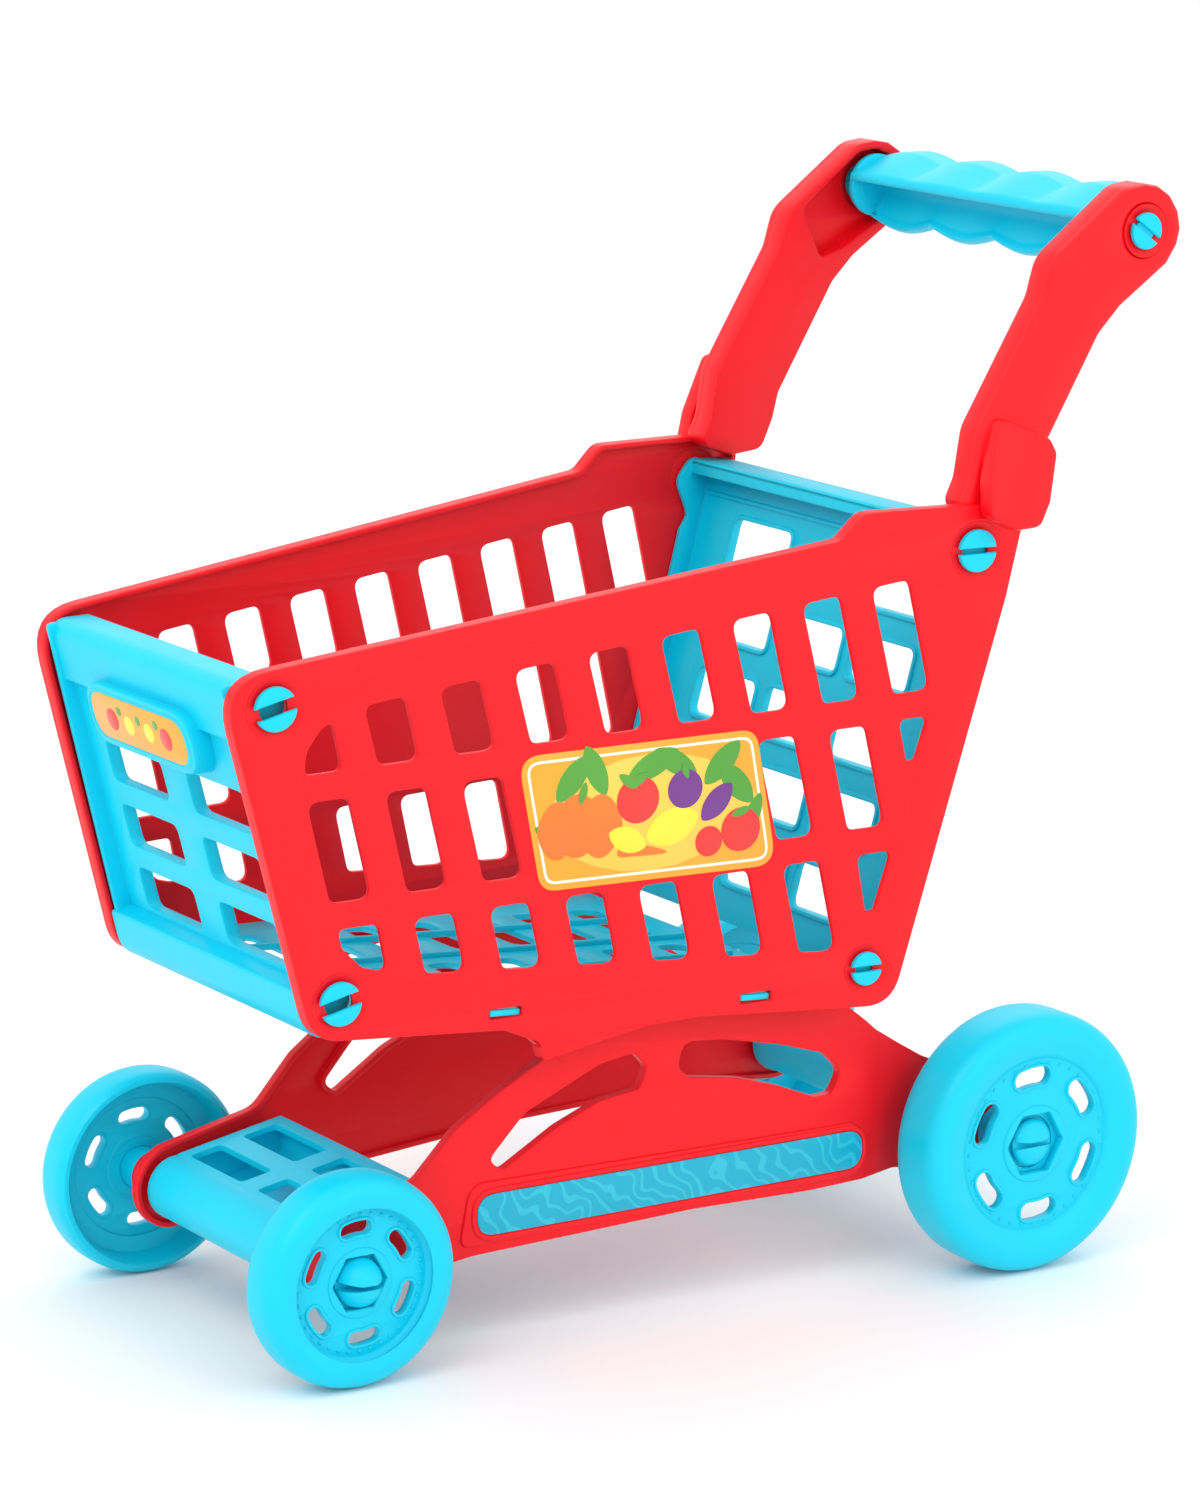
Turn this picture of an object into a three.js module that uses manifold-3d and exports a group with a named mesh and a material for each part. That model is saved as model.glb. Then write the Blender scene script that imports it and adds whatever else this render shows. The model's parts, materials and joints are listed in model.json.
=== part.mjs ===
// Children's toy shopping trolley. Millimetres, +Z up, front toward -Y.
// While the parts are built y = 0 is the front axle; the last step centres the whole object.
import * as THREE from 'three';
import { mergeVertices } from 'three/addons/utils/BufferGeometryUtils.js';
import Module from 'manifold-3d';

const wasm = await Module();
wasm.setup();

// ---- driving dimensions ----
const taper = 0.0732; // a side panel moves outward this much per mm toward the rear
const basketHalf = 72.8; // outer face of a side panel from the middle, above the front axle
const wall = 2.3; // moulded wall thickness
const rimDepth = 6.5; // panel rim, measured inward from the outer face
const gap = 0.3; // clearance between fitted pieces
const frontAxle = { y: 0, z: 38.3 };
const rearAxle = { y: 280, z: 49.4 };
const frameHalf = 54.4; // outer face of a chassis frame from the middle, above the front axle
const frameDepth = 4.4; // chassis frame edge depth
const frameStep = 5; // rear arm of the frame sits this much further in
const armOuter = basketHalf + 15.7; // outer face of a handle arm
const armInner = armOuter - 13;
const armBevel = 1.6;
const gripPin = { y: 325.4, z: 384 };
const footFlare = 0.2; // the arm's foot moves outward this much per mm downward
const axleRadius = 4;
const frontInner = frameHalf + 11.6; // inner face of a front wheel
const rearInner = frameHalf + taper * rearAxle.y + 2.8; // inner face of a rear wheel
const frontWheel = {
  radius: frontAxle.z, inner: frontInner, face: frontInner + 14.5, outer: frontInner + 19,
  hub: 11, slotIn: 17.5, slotOut: 22.5, crease: 27,
};
const rearWheel = {
  radius: rearAxle.z, inner: rearInner, face: rearInner + 21.3, outer: rearInner + 25,
  hub: 15, slotIn: 22.5, slotOut: 29.5, crease: 33,
};
const frontStub = { radius: 9, reach: frontWheel.outer + 3 };
const rearStub = { radius: 9, reach: rearWheel.outer - 2.2 };

// ---- colours ----
const red = new THREE.MeshStandardMaterial({ color: 0xe01f2d, roughness: 0.35, metalness: 0 });
const cyan = new THREE.MeshStandardMaterial({ color: 0x12b4dc, roughness: 0.35, metalness: 0 });
const inlayBlue = new THREE.MeshStandardMaterial({ color: 0x2fb8d8, roughness: 0.45, metalness: 0 });
const orange = new THREE.MeshStandardMaterial({ color: 0xffa81c, roughness: 0.4, metalness: 0 });

// ---- solids ----
const toSolid = (geometry) => {
  const bare = geometry.index ? geometry.toNonIndexed() : geometry;
  bare.deleteAttribute('normal');
  bare.deleteAttribute('uv');
  const merged = mergeVertices(bare, 1e-4);
  return new wasm.Manifold(new wasm.Mesh({
    numProp: 3,
    vertProperties: new Float32Array(merged.attributes.position.array),
    triVerts: new Uint32Array(merged.index.array),
  }));
};

const toMesh = (name, solid, material) => {
  const data = solid.simplify(0.04).getMesh();
  const geometry = new THREE.BufferGeometry();
  geometry.setAttribute('position', new THREE.BufferAttribute(new Float32Array(data.vertProperties), 3));
  geometry.setIndex(new THREE.BufferAttribute(new Uint32Array(data.triVerts), 1));
  geometry.computeVertexNormals();
  const mesh = new THREE.Mesh(geometry, material);
  mesh.name = name;
  return mesh;
};

const mirrored = (solid) => solid.mirror([1, 0, 0]);
const bothSides = (solid) => solid.add(mirrored(solid));
const joined = (solids) => solids.reduce((sum, solid) => sum.add(solid));

// A closed outline from corners [u, v, radius]; a corner without a radius stays sharp.
const outline = (corners) => {
  const shape = new THREE.Shape();
  const count = corners.length;
  corners.forEach(([u, v, radius = 0], index) => {
    const [pu, pv] = corners[(index + count - 1) % count];
    const [nu, nv] = corners[(index + 1) % count];
    const back = Math.hypot(pu - u, pv - v);
    const ahead = Math.hypot(nu - u, nv - v);
    const turn = Math.acos(((pu - u) * (nu - u) + (pv - v) * (nv - v)) / (back * ahead));
    const trim = Math.min(radius / Math.tan(turn / 2), back * 0.49, ahead * 0.49);
    const start = [u + (pu - u) * trim / back, v + (pv - v) * trim / back];
    if (index === 0) shape.moveTo(...start);
    else shape.lineTo(...start);
    if (trim > 0) shape.quadraticCurveTo(u, v, u + (nu - u) * trim / ahead, v + (nv - v) * trim / ahead);
  });
  shape.closePath();
  return shape;
};

// The same corners moved inward by a distance (corners run counter-clockwise).
const inset = (corners, distance) => corners.map(([u, v, radius = 0], index) => {
  const [pu, pv] = corners[(index + corners.length - 1) % corners.length];
  const [nu, nv] = corners[(index + 1) % corners.length];
  const a = Math.atan2(v - pv, u - pu);
  const b = Math.atan2(nv - v, nu - u);
  const half = (b - a) / 2;
  const reach = distance / Math.cos(half);
  const middle = (a + b) / 2 + Math.PI / 2;
  const wrap = Math.cos(half) < 0 ? -1 : 1;
  return [u + Math.cos(middle) * reach, v + Math.sin(middle) * reach, Math.max(radius - distance * wrap, 0)];
});

const extrude = (corners, depth, bevel, curveSegments) => {
  const shape = corners instanceof THREE.Shape ? corners : outline(corners);
  return new THREE.ExtrudeGeometry(shape, {
    depth: depth - 2 * bevel,
    curveSegments,
    bevelEnabled: bevel > 0,
    bevelThickness: bevel,
    bevelSize: bevel,
    bevelOffset: -bevel,
    bevelSegments: 1,
  }).translate(0, 0, bevel);
};

// Outline in (y, z) between two x planes.
const alongX = (corners, x0, x1, bevel = 0, curveSegments = 2) => {
  const axes = new THREE.Matrix4().makeBasis(
    new THREE.Vector3(0, 1, 0), new THREE.Vector3(0, 0, 1), new THREE.Vector3(1, 0, 0));
  return toSolid(extrude(corners, x1 - x0, bevel, curveSegments).applyMatrix4(axes).translate(x0, 0, 0));
};

// Outline in (x, z) between two y planes; the outline is seen from the front.
const alongY = (corners, y0, y1, curveSegments = 2) => {
  const axes = new THREE.Matrix4().makeBasis(
    new THREE.Vector3(1, 0, 0), new THREE.Vector3(0, 0, 1), new THREE.Vector3(0, -1, 0));
  return toSolid(extrude(corners, y1 - y0, 0, curveSegments).applyMatrix4(axes).translate(0, y1, 0));
};

// Outline in (x, y) between two z planes.
const alongZ = (corners, z0, z1) => toSolid(extrude(corners, z1 - z0, 0, 2).translate(0, 0, z0));

// A round bar or cone along x.
const barX = (centre, r0, r1, x0, x1, segments = 14) => {
  const bar = new THREE.CylinderGeometry(r1, r0, x1 - x0, segments).rotateZ(-Math.PI / 2);
  return toSolid(bar.translate((x0 + x1) / 2, centre.y, centre.z));
};

const box = (x0, x1, y0, y1, z0, z1) => toSolid(
  new THREE.BoxGeometry(x1 - x0, y1 - y0, z1 - z0).translate((x0 + x1) / 2, (y0 + y1) / 2, (z0 + z1) / 2));

// Moves every point by row-wise amounts: x by xy * y, y by yz * z.
const sheared = (solid, xy, yz) => solid.transform([1, 0, 0, 0, xy, 1, 0, 0, 0, yz, 1, 0, 0, 0, 0, 1]);
const tapered = (solid) => sheared(solid, taper, 0);

// ---- side panel outline and the lines it is built on ----
const frontLine = { y: -16.5, z: 133.9, lean: -0.274 };
const pinLine = { y: 249.6, z: 273.9, lean: 0.2754 };
const panelCorners = [
  [-13.7, 123.6, 15], [60.4, 118.8, 3], [75, 112.5, 3], [75.5, 105.5, 2], [98.4, 109.9], [118.5, 113.4, 12],
  [139, 114, 12], [196.7, 109.8, 0], [219.8, 108.5, 14], [264, 256, 12], [270.5, 284, 8], [262, 290, 4],
  [203, 290.5, 7], [193.5, 281.4, 5], [-49, 252.4, 14],
];
const armCorners = [
  [247, 287, 3], [261, 283, 4], [274, 284.5, 4], [279, 296, 6], [281.5, 306, 6], [306, 347.5, 10],
  [315.5, 357, 8], [336.5, 371.5, 2], [339, 386, 0], [325.4, 400.5, 2], [317, 400, 8], [284.5, 375.7, 10],
  [280.5, 361.5, 10], [253, 316, 10], [250.2, 298, 6], [244.5, 289, 3],
];
const footCorners = [
  [261, 281, 2], [272, 281.5, 3], [277.5, 290, 3], [282.5, 307, 3], [280, 312.5, 3], [257.5, 321.5, 3],
  [250.8, 298, 4], [250, 286, 2],
];
const armDiscRadius = 17;
const armSkin = armOuter - wall - 0.5; // where the hollow inside the arm ends
const gripStud = { shaft: 4.2, head: 6.8 };
const pins = [
  { y: -28.2, z: 241.3, radius: 8 },
  { y: -3.5, z: 136.2, radius: 8 },
  { y: 250.5, z: 273.5, radius: 8 },
  { y: 208.1, z: 123.6, radius: 6.3 },
];
const [frontTopPin, frontLowPin, rearTopPin, rearLowPin] = pins;
const floorLine = { y: 61, z: 125, fall: -0.066 };
const floorTabs = [54.5, 155.8]; // where each tab starts
const tabLength = 12.9;
const tabHole = wall - floorLine.fall * tabLength + 2 * gap;
const floorZ = (y) => floorLine.z + floorLine.fall * (y - floorLine.y);
const recessDepth = 1.2;
const stickerThickness = 0.5;
const sideSticker = [[73.6, 166.6, 8], [169.5, 166.1, 8], [160, 217, 8], [63.9, 216, 8]];

const stud = (pin) => {
  const shaft = barX(pin, pin.radius - 3, pin.radius - 3, -rimDepth - 1.5, 0, 16);
  const head = barX(pin, pin.radius, pin.radius - 1.2, -recessDepth + gap, 1.2, 18);
  const slot = box(-1, 3, pin.y - 1.1, pin.y + 1.1, pin.z - pin.radius, pin.z + pin.radius);
  return shaft.add(head).subtract(slot);
};

// The basket slots: three rows that share nine leaning columns.
const slotPitch = 28.78;
const slotWidth = 15.6;
const slotLean = 0.245;
const slotRound = 3.6;
const slotRows = [
  { top: (y) => 238.6 + 0.119 * y, bottom: (y) => 217.8 + 0.027 * y, first: 1, last: 9 },
  { top: (y) => 208 + 0.026 * y, bottom: (y) => 171.9 + 0.018 * y, first: 1, last: 9, solid: [4, 5, 6] },
  { top: (y) => 162.5 + 0.018 * y, bottom: (y) => 144.8 - 0.068 * y, first: 1, last: 8 },
];

const slotCutter = (row, column) => {
  const topZ = 235.9 + 3.425 * (column - 1);
  const left = (z) => -22.96 + slotPitch * (column - 1) + slotLean * (topZ - z);
  const corner = (edge, shift) => {
    const guess = edge(left(200) + shift);
    const y = left(guess) + shift;
    return [y, edge(y), slotRound];
  };
  const corners = [
    corner(row.bottom, 0), corner(row.bottom, slotWidth), corner(row.top, slotWidth), corner(row.top, 0),
  ];
  return alongX(corners, -rimDepth, 2, 0, 2);
};

const sideSlots = () => {
  const cutters = slotRows.flatMap((row) => {
    const columns = Array.from({ length: row.last - row.first + 1 }, (_, index) => row.first + index);
    const open = columns.filter((column) => !(row.solid || []).includes(column));
    return open.map((column) => slotCutter(row, column));
  });
  const frontBosses = [frontTopPin, frontLowPin].map((pin) => barX(pin, 23.5, 23.5, -20, 5, 40));
  const rearSolid = alongX([[202.8, 100], [330, 100], [330, 310], [268, 310]], -20, 5);
  return joined(cutters).subtract(joined(frontBosses)).subtract(rearSolid);
};

const sidePanel = () => {
  const edge = alongX(panelCorners, -rimDepth, 0, 0.9);
  const hollow = alongX(inset(panelCorners, wall), -rimDepth - 2, -wall);
  const holes = pins.map((pin) => barX(pin, pin.radius - 3 + gap, pin.radius - 3 + gap, -20, 5, 16));
  const recesses = pins.map((pin) => barX(pin, pin.radius + gap, pin.radius + 3, -recessDepth, 0.01, 18));
  const tabHoles = floorTabs.map((y) => box(-20, 5, y, y + tabLength, floorZ(y + tabLength / 2) - tabHole / 2,
    floorZ(y + tabLength / 2) + tabHole / 2));
  const stickerBed = alongX(sideSticker, -stickerThickness + 0.1 - gap, 2);
  const cuts = joined([sideSlots(), ...holes, ...recesses, ...tabHoles, stickerBed]);
  const armHead = barX(gripPin, armDiscRadius, armDiscRadius, armInner, armOuter, 28);
  const bar = alongX(armCorners, armInner, armOuter, armBevel);
  const foot = alongX(footCorners, armOuter - 3, armOuter + 5, 1.2)
    .transform([1, 0, 0, 0, 0, 1, 0, 0, -footFlare, 0, 1, 0, footFlare * 320, 0, 0, 1]);
  const armBody = bar.add(foot);
  const pocketOutline = [
    [300, 357, 3], [311, 360.5, 3], [328, 371, 3], [338, 384, 3], [325, 397, 3], [317.5, 397, 6],
    [291, 376.5, 3],
  ];
  const pocket = alongX(pocketOutline, armInner - 1, armSkin);
  const discPocket = barX(gripPin, armDiscRadius - wall, armDiscRadius - wall, armInner - 1, armSkin, 24);
  const gripHole = barX(gripPin, gripStud.shaft + gap, gripStud.shaft + gap, armInner, armOuter + 1, 16);
  const gripRecess = barX(gripPin, gripStud.head + gap, gripStud.head + 2.6, armOuter - recessDepth,
    armOuter + 0.01, 24);
  const arm = armBody.add(armHead).subtract(joined([pocket, discPocket, gripHole, gripRecess]));
  const placed = tapered(edge.subtract(hollow).translate([basketHalf, 0, 0]));
  const behindPanel = tapered(alongX(inset(panelCorners, wall), -40, -wall).translate([basketHalf, 0, 0]));
  const whole = placed.add(arm.subtract(behindPanel));
  return whole.subtract(tapered(cuts.translate([basketHalf, 0, 0])));
};

// The space a side panel needs, grown by the clearance.
const panelSpace = () => {
  const room = wall + gap;
  const outside = alongX([[-90, 60], [330, 60], [330, 330], [-90, 330]], -rimDepth - gap, 40);
  const inside = alongX(inset(panelCorners, room), -40, -room);
  return bothSides(tapered(outside.subtract(inside).translate([basketHalf, 0, 0])));
};

const betweenPanels = (solid) => {
  const room = wall + gap;
  const half = (y) => basketHalf + taper * y - room;
  const ends = [-80, 320];
  const wedge = alongZ([
    [-half(ends[0]), ends[0]], [half(ends[0]), ends[0]], [half(ends[1]), ends[1]], [-half(ends[1]), ends[1]],
  ], 50, 340);
  return solid.intersect(wedge);
};

// The space further inside than a depth below both outer faces, between two y planes.
const insideOf = (depth, y0, y1) => {
  const half = tapered(box(-300, -depth, y0, y1, 60, 300).translate([basketHalf, 0, 0]));
  return half.intersect(mirrored(half));
};

// A pin's place measured as depth behind a leaning line.
const behind = (line, pin) => ({ y: pin.y - line.y - line.lean * (pin.z - line.z), z: pin.z });

const studsFor = (list) => bothSides(tapered(joined(list.map(stud)).translate([basketHalf, 0, 0])));

// ---- front panel, drawn as depth behind the sloping front line ----
const frontColumns = [[-49, -9], [9, 49]];
const frontRows = [[144.5, 160], [168.5, 184], [193, 208]];
const frontStickerCorners = [[-34, 214, 8.2], [32, 214, 8.2], [32, 231, 8.2], [-34, 231, 8.2]];
const placeFront = (solid) => sheared(solid, 0, frontLine.lean)
  .translate([0, frontLine.y - frontLine.lean * frontLine.z, 0]);

const frontPanel = () => {
  const facePath = [[20, 122.6], [0.8, 122.6, 9], [0.8, 140, 2], [8.5, 142, 2], [8.5, 227, 1], [4.8, 229, 1],
    [4.8, 250.4, 9], [22, 250.4]];
  const backPath = [[22, 248], [7.2, 248, 7], [7.2, 231, 1], [10.9, 228, 1], [10.9, 140, 2], [3.2, 138, 2],
    [3.2, 125, 6], [20, 125]];
  const outer = 80;
  const sheet = alongX([...backPath, ...facePath].reverse(), -outer, outer);
  const filled = alongX([...facePath].reverse(), -outer, outer);
  const reveals = frontColumns.flatMap(([x0, x1]) => frontRows.map(([z0, z1]) => {
    const grown = [[x0 - 2, z0 - 2, 4], [x1 + 2, z0 - 2, 4], [x1 + 2, z1 + 2, 4], [x0 - 2, z1 + 2, 4]];
    return alongY(grown, 9, 14, 2);
  }));
  const windows = frontColumns.flatMap(([x0, x1]) => frontRows.map(([z0, z1]) => (
    alongY([[x0, z0, 3], [x1, z0, 3], [x1, z1, 3], [x0, z1, 3]], 0, 30, 2))));
  const pad = alongY([[-38, 211, 11], [36, 211, 11], [36, 234, 11], [-38, 234, 11]], 0.2, 9.5);
  const bed = alongY(frontStickerCorners, -1, 0.2 + stickerThickness + gap - 0.1);
  const flangeOutline = joined([
    alongX([[5, 124], [14, 124], [15, 249], [5, 249]], -outer, outer),
    barX(behind(frontLine, frontTopPin), 9, 9, -outer, outer),
    barX(behind(frontLine, frontLowPin), 9, 9, -outer, outer),
  ]).intersect(filled);
  const placedFlange = placeFront(flangeOutline);
  const core = insideOf(rimDepth + gap + wall, -90, 120);
  const body = sheet.add(joined(reveals)).add(pad).subtract(joined(windows)).subtract(bed);
  const whole = placeFront(body).add(placedFlange.subtract(core));
  const trimmed = betweenPanels(whole).subtract(panelSpace());
  return trimmed.add(studsFor([frontTopPin, frontLowPin]));
};

// ---- rear gate, drawn as depth behind the sloping pin line ----
const gateColumns = [[-62.5, -25.5], [-18.5, 19], [25.5, 62.5]];
const gateRows = [[243, 261], [216.5, 232.5], [187.4, 205], [159.2, 176.4], [132, 148.5]];
const placeGate = (solid) => sheared(solid, 0, pinLine.lean)
  .translate([0, pinLine.y - pinLine.lean * pinLine.z, 0]);

const rearGate = () => {
  const outer = 100;
  const face = 8;
  const section = [
    [face, 119, 1], [face + wall, 117, 2], [face + wall, 281, 3], [-2, 281, 1], [-2, 278.7], [face, 278.7, 2],
  ];
  const sheet = alongX(section, -outer, outer);
  const lip = box(-outer, outer, -2, -2 + wall, 275.5, 279.5);
  const bead = box(-outer, outer, face - 1, face + 1, 266.8, 268.4);
  const holes = gateRows.flatMap(([z0, z1], row) => gateColumns
    .filter((_, column) => !(row === 0 && column === 1))
    .map(([x0, x1]) => alongY([[x0, z0, 3], [x1, z0, 3], [x1, z1, 3], [x0, z1, 3]], 0, 30, 2)));
  const flange = joined([
    alongX([[0, 119, 2], [face + 1, 119], [face + 1, 280], [3.5, 280, 2], [3.5, 257, 1], [0, 254, 1]],
      -outer, outer),
    barX(behind(pinLine, rearTopPin), 9, 9, -outer, outer),
    barX(behind(pinLine, rearLowPin), 8, 8, -outer, outer),
  ]).subtract(box(-outer, outer, face + wall - 0.01, 60, 60, 300));
  const core = insideOf(2 * wall + gap, 100, 320);
  const body = sheet.add(lip).add(bead).subtract(joined(holes));
  const whole = placeGate(body).add(placeGate(flange).subtract(core));
  return betweenPanels(whole).subtract(panelSpace()).add(studsFor([rearTopPin, rearLowPin]));
};

// ---- floor ----
const basketFloor = () => {
  const plate = box(-95, 95, 8, 198, -wall / 2, wall / 2);
  const ribs = [-30, 0, 30].map((x) => box(x - 1, x + 1, 10, 190, wall / 2 - 0.2, wall / 2 + 2));
  const bars = Array.from({ length: 7 }, (_, index) => 20 + index * 25);
  const slots = bars.flatMap((y) => [-1, 1].map((side) => {
    const x0 = side < 0 ? -52 : 8;
    return alongZ([[x0, y, 4], [x0 + 44, y, 4], [x0 + 44, y + 12, 4], [x0, y + 12, 4]], -9, 9);
  }));
  const tabs = floorTabs.map((y) => tapered(box(-9, -0.4, y + gap, y + tabLength - gap, -wall / 2, wall / 2)
    .translate([basketHalf, 0, 0])));
  const slope = (solid) => solid.transform([
    1, 0, 0, 0, 0, 1, floorLine.fall, 0, 0, 0, 1, 0, 0, 0, floorLine.z - floorLine.fall * floorLine.y, 1,
  ]);
  const flat = joined([plate, ...ribs]).subtract(joined(slots));
  return betweenPanels(slope(flat)).subtract(panelSpace()).add(bothSides(slope(joined(tabs))));
};

// ---- grip ----
const handleGrip = () => {
  const half = armInner - gap;
  const outer = [
    [327, 371, 4], [334.5, 373.5, 3], [340.5, 391, 5], [338, 395.5, 3], [329, 397.5, 6], [315, 387, 5],
    [312.5, 379, 4],
  ];
  const scoop = [
    [308, 370.8, 1], [323, 373.3, 2], [328, 376.8, 4], [330.5, 384.8, 4], [325, 388.3, 4], [315, 382.3, 3],
  ];
  const endWall = 6;
  const body = alongX(outer, -half, half, 0.8, 3)
    .subtract(alongX(scoop, -half + endWall, half - endWall, 0, 3));
  const tube = barX(gripPin, 7.5, 7.5, half - 3, armSkin - gap, 20);
  const shaft = barX(gripPin, gripStud.shaft, gripStud.shaft, half, armOuter, 16);
  const head = barX(gripPin, gripStud.head, gripStud.head - 1.2, armOuter - recessDepth + gap,
    armOuter + 1.2, 20);
  const slot = box(armOuter - 0.4, armOuter + 3, gripPin.y - 9, gripPin.y + 9, gripPin.z - 1, gripPin.z + 1);
  return body.add(bothSides(tube.add(shaft).add(head).subtract(slot)));
};

// ---- chassis frame ----
const frameCorners = [
  [-8, 22.3, 3], [0, 22.3, 6], [60, 31.5, 20], [150, 36, 20], [200, 36, 20], [238, 38.2, 14], [280, 33.4, 6],
  [290, 37, 3], [289, 63, 3], [250.5, 79.7, 14], [228, 93.3, 8], [212, 106, 8], [196, 114.6, 3],
  [102, 120.8, 3], [97, 107, 8],
  [86.5, 100, 6], [70.5, 91.1, 12], [52.6, 79.1, 10], [36, 61.4, 8], [0, 54.3, 8], [-8, 54, 3],
];
const frameSlots = [
  [
    [66, 66, 3], [71.5, 61.5, 2], [93.7, 74.8, 12], [110.6, 82, 12], [127, 84.5, 3], [130, 92, 3],
    [124.6, 98, 3], [110.4, 95.5, 14], [80.4, 81.6, 14],
  ],
  [
    [142.5, 90, 4], [147.4, 86.1, 3], [168.5, 83, 14], [185.4, 77.8, 14], [201, 71.5, 3], [208, 72, 3],
    [212, 80.1, 4], [204.5, 87.7, 6], [185.1, 93.5, 14], [161.9, 98.3, 14], [145, 99.6, 4],
  ],
];
const padCorners = [[54, 35, 4], [150, 39, 20], [200, 39, 20], [222, 40, 3], [220, 60, 3], [58, 58.5, 6]];
const inlayCorners = [[60.5, 38.4, 7.8], [221, 42.4, 7.8], [221, 57.4, 7.8], [60.5, 54.2, 7.8]];
const padRise = 1.6;
const frameRound = 16;

// A band that follows the frame in plan: straight, then a step inward toward the rear.
const frameBand = (from, to) => {
  const face = (y) => frameHalf + taper * y;
  const path = [[-30, 0], [222, 0], [240, frameStep], [320, frameStep]];
  const edgeOf = (depth) => path.map(([y, step]) => [face(y) - step - depth, y]);
  return alongZ([...edgeOf(to), ...edgeOf(from).reverse()], 10, 140);
};

const chassisFrame = () => {
  const ends = [frontAxle, rearAxle];
  const outer = joined([
    alongX(frameCorners, 20, 120),
    ...ends.map((axle) => barX(axle, frameRound, frameRound, 20, 120, 28)),
  ]);
  const inner = joined([
    alongX(inset(frameCorners, wall), 10, 130),
    ...ends.map((axle) => barX(axle, frameRound - wall, frameRound - wall, 10, 130, 28)),
  ]);
  const skin = outer.intersect(frameBand(wall, 0));
  const edge = outer.subtract(inner).intersect(frameBand(frameDepth, 0));
  const onFace = (corners, x0, x1) => tapered(alongX(corners, x0, x1).translate([frameHalf, 0, 0]));
  const pad = onFace(padCorners, -1, padRise);
  const bed = onFace(inlayCorners, padRise - 0.9, padRise + 3);
  const slotRims = frameSlots.map((corners) => onFace(inset(corners, -wall), -frameDepth, -1));
  const slots = frameSlots.map((corners) => onFace(corners, -10, 10));
  const frontCollar = barX(frontAxle, 9, 9, frameHalf - wall, frontWheel.inner - gap, 24);
  const rearFace = frameHalf + taper * rearAxle.y - frameStep;
  const rearCollar = barX(rearAxle, 10, 10, rearFace - wall, rearWheel.inner - gap, 24);
  const bores = ends.map((axle) => barX(axle, axleRadius + gap, axleRadius + gap, 20, 120, 16));
  return joined([skin, edge, pad, ...slotRims, frontCollar, rearCollar])
    .subtract(joined([...slots, ...bores, bed]));
};

const frameInlay = () => tapered(alongX(inset(inlayCorners, gap), padRise - 0.9 + gap, padRise + 0.1)
  .translate([frameHalf, 0, 0]));

// ---- axle brackets ----
const bracket = (axle, half, length, rise, windows) => {
  const nose = 12;
  const tail = axle.y + length;
  const topTail = axle.z + 11.5 + rise * length;
  const profile = [
    [axle.y - 5, axle.z - 9, 1], [tail, topTail - 14, 1], [tail, topTail, 1], [axle.y - 1, axle.z + nose, 3],
  ];
  const solid = alongX(profile, -half, half).add(barX(axle, nose, nose, -half, half, 24));
  const hollow = alongX(inset(profile, wall), -half + wall, half - wall)
    .add(barX(axle, nose - wall, nose - wall, -half + wall, half - wall, 24))
    .add(box(-half + wall, half - wall, axle.y - 8, tail - wall, axle.z - 40, axle.z));
  const bore = barX(axle, axleRadius + gap, axleRadius + gap, -half - 1, half + 1, 16);
  const cuts = windows.flatMap(([y0, y1]) => [-1, 1].map((side) => {
    const inner = side * 5.5;
    const outer = side * (half - 5.5);
    const [x0, x1] = [Math.min(inner, outer), Math.max(inner, outer)];
    return alongZ([[x0, y0, 2], [x1, y0, 2], [x1, y1, 2], [x0, y1, 2]], axle.z + 6, axle.z + 40);
  }));
  return solid.subtract(joined([hollow, bore, ...cuts]));
};

// ---- axles ----
const axleBar = (axle, wheel, headRadius, reach) => {
  const bar = barX(axle, axleRadius, axleRadius, -reach + 1, reach - 1, 16);
  const seat = wheel.face - 3;
  const head = barX(axle, headRadius, headRadius - 1.5, seat + gap, reach, 20);
  const split = box(seat + 2, reach + 1, axle.y - 1, axle.y + 1, axle.z - 20, axle.z + 20);
  return bar.add(bothSides(head.subtract(split)));
};

// ---- wheels ----
const slotAngles = [155, 95, 35, -25, -85, -145];
const wheel = (axle, size, headRadius) => {
  const { radius, inner, outer, hub, face, crease } = size;
  const shell = 3;
  const bore = axleRadius + gap;
  const profile = [
    [bore, inner], [hub - 3, inner], [hub - 3, face - shell], [radius - 6, face - shell - 1],
    [radius - 5, inner + 2], [radius - 3.5, inner], [radius, inner + 4], [radius, outer - 7],
    [radius - 1.6, outer - 2.6], [radius - 5, outer - 0.3], [radius - 8, outer],
    [crease, face + 1.2], [crease - 1.5, face], [headRadius + 2, face],
    [headRadius + 1, face - 3], [bore, face - 3],
  ].map(([r, x]) => new THREE.Vector2(r, x));
  const lathe = new THREE.LatheGeometry([...profile, profile[0].clone()], 28);
  const turned = toSolid(lathe.rotateZ(-Math.PI / 2));
  const placed = turned.volume() < 0 ? turned.mirror([0, 0, 1]) : turned;
  const slot = (degrees) => {
    const middle = THREE.MathUtils.degToRad(degrees);
    const sweep = THREE.MathUtils.degToRad(18);
    const shape = new THREE.Shape();
    shape.absarc(0, 0, size.slotOut, middle - sweep, middle + sweep, false);
    shape.absarc(0, 0, size.slotIn, middle + sweep, middle - sweep, true);
    shape.closePath();
    return alongX(shape, face - 8, face + 3, 0, 3);
  };
  return placed.subtract(joined(slotAngles.map(slot))).translate([0, axle.y, axle.z]);
};

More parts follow.
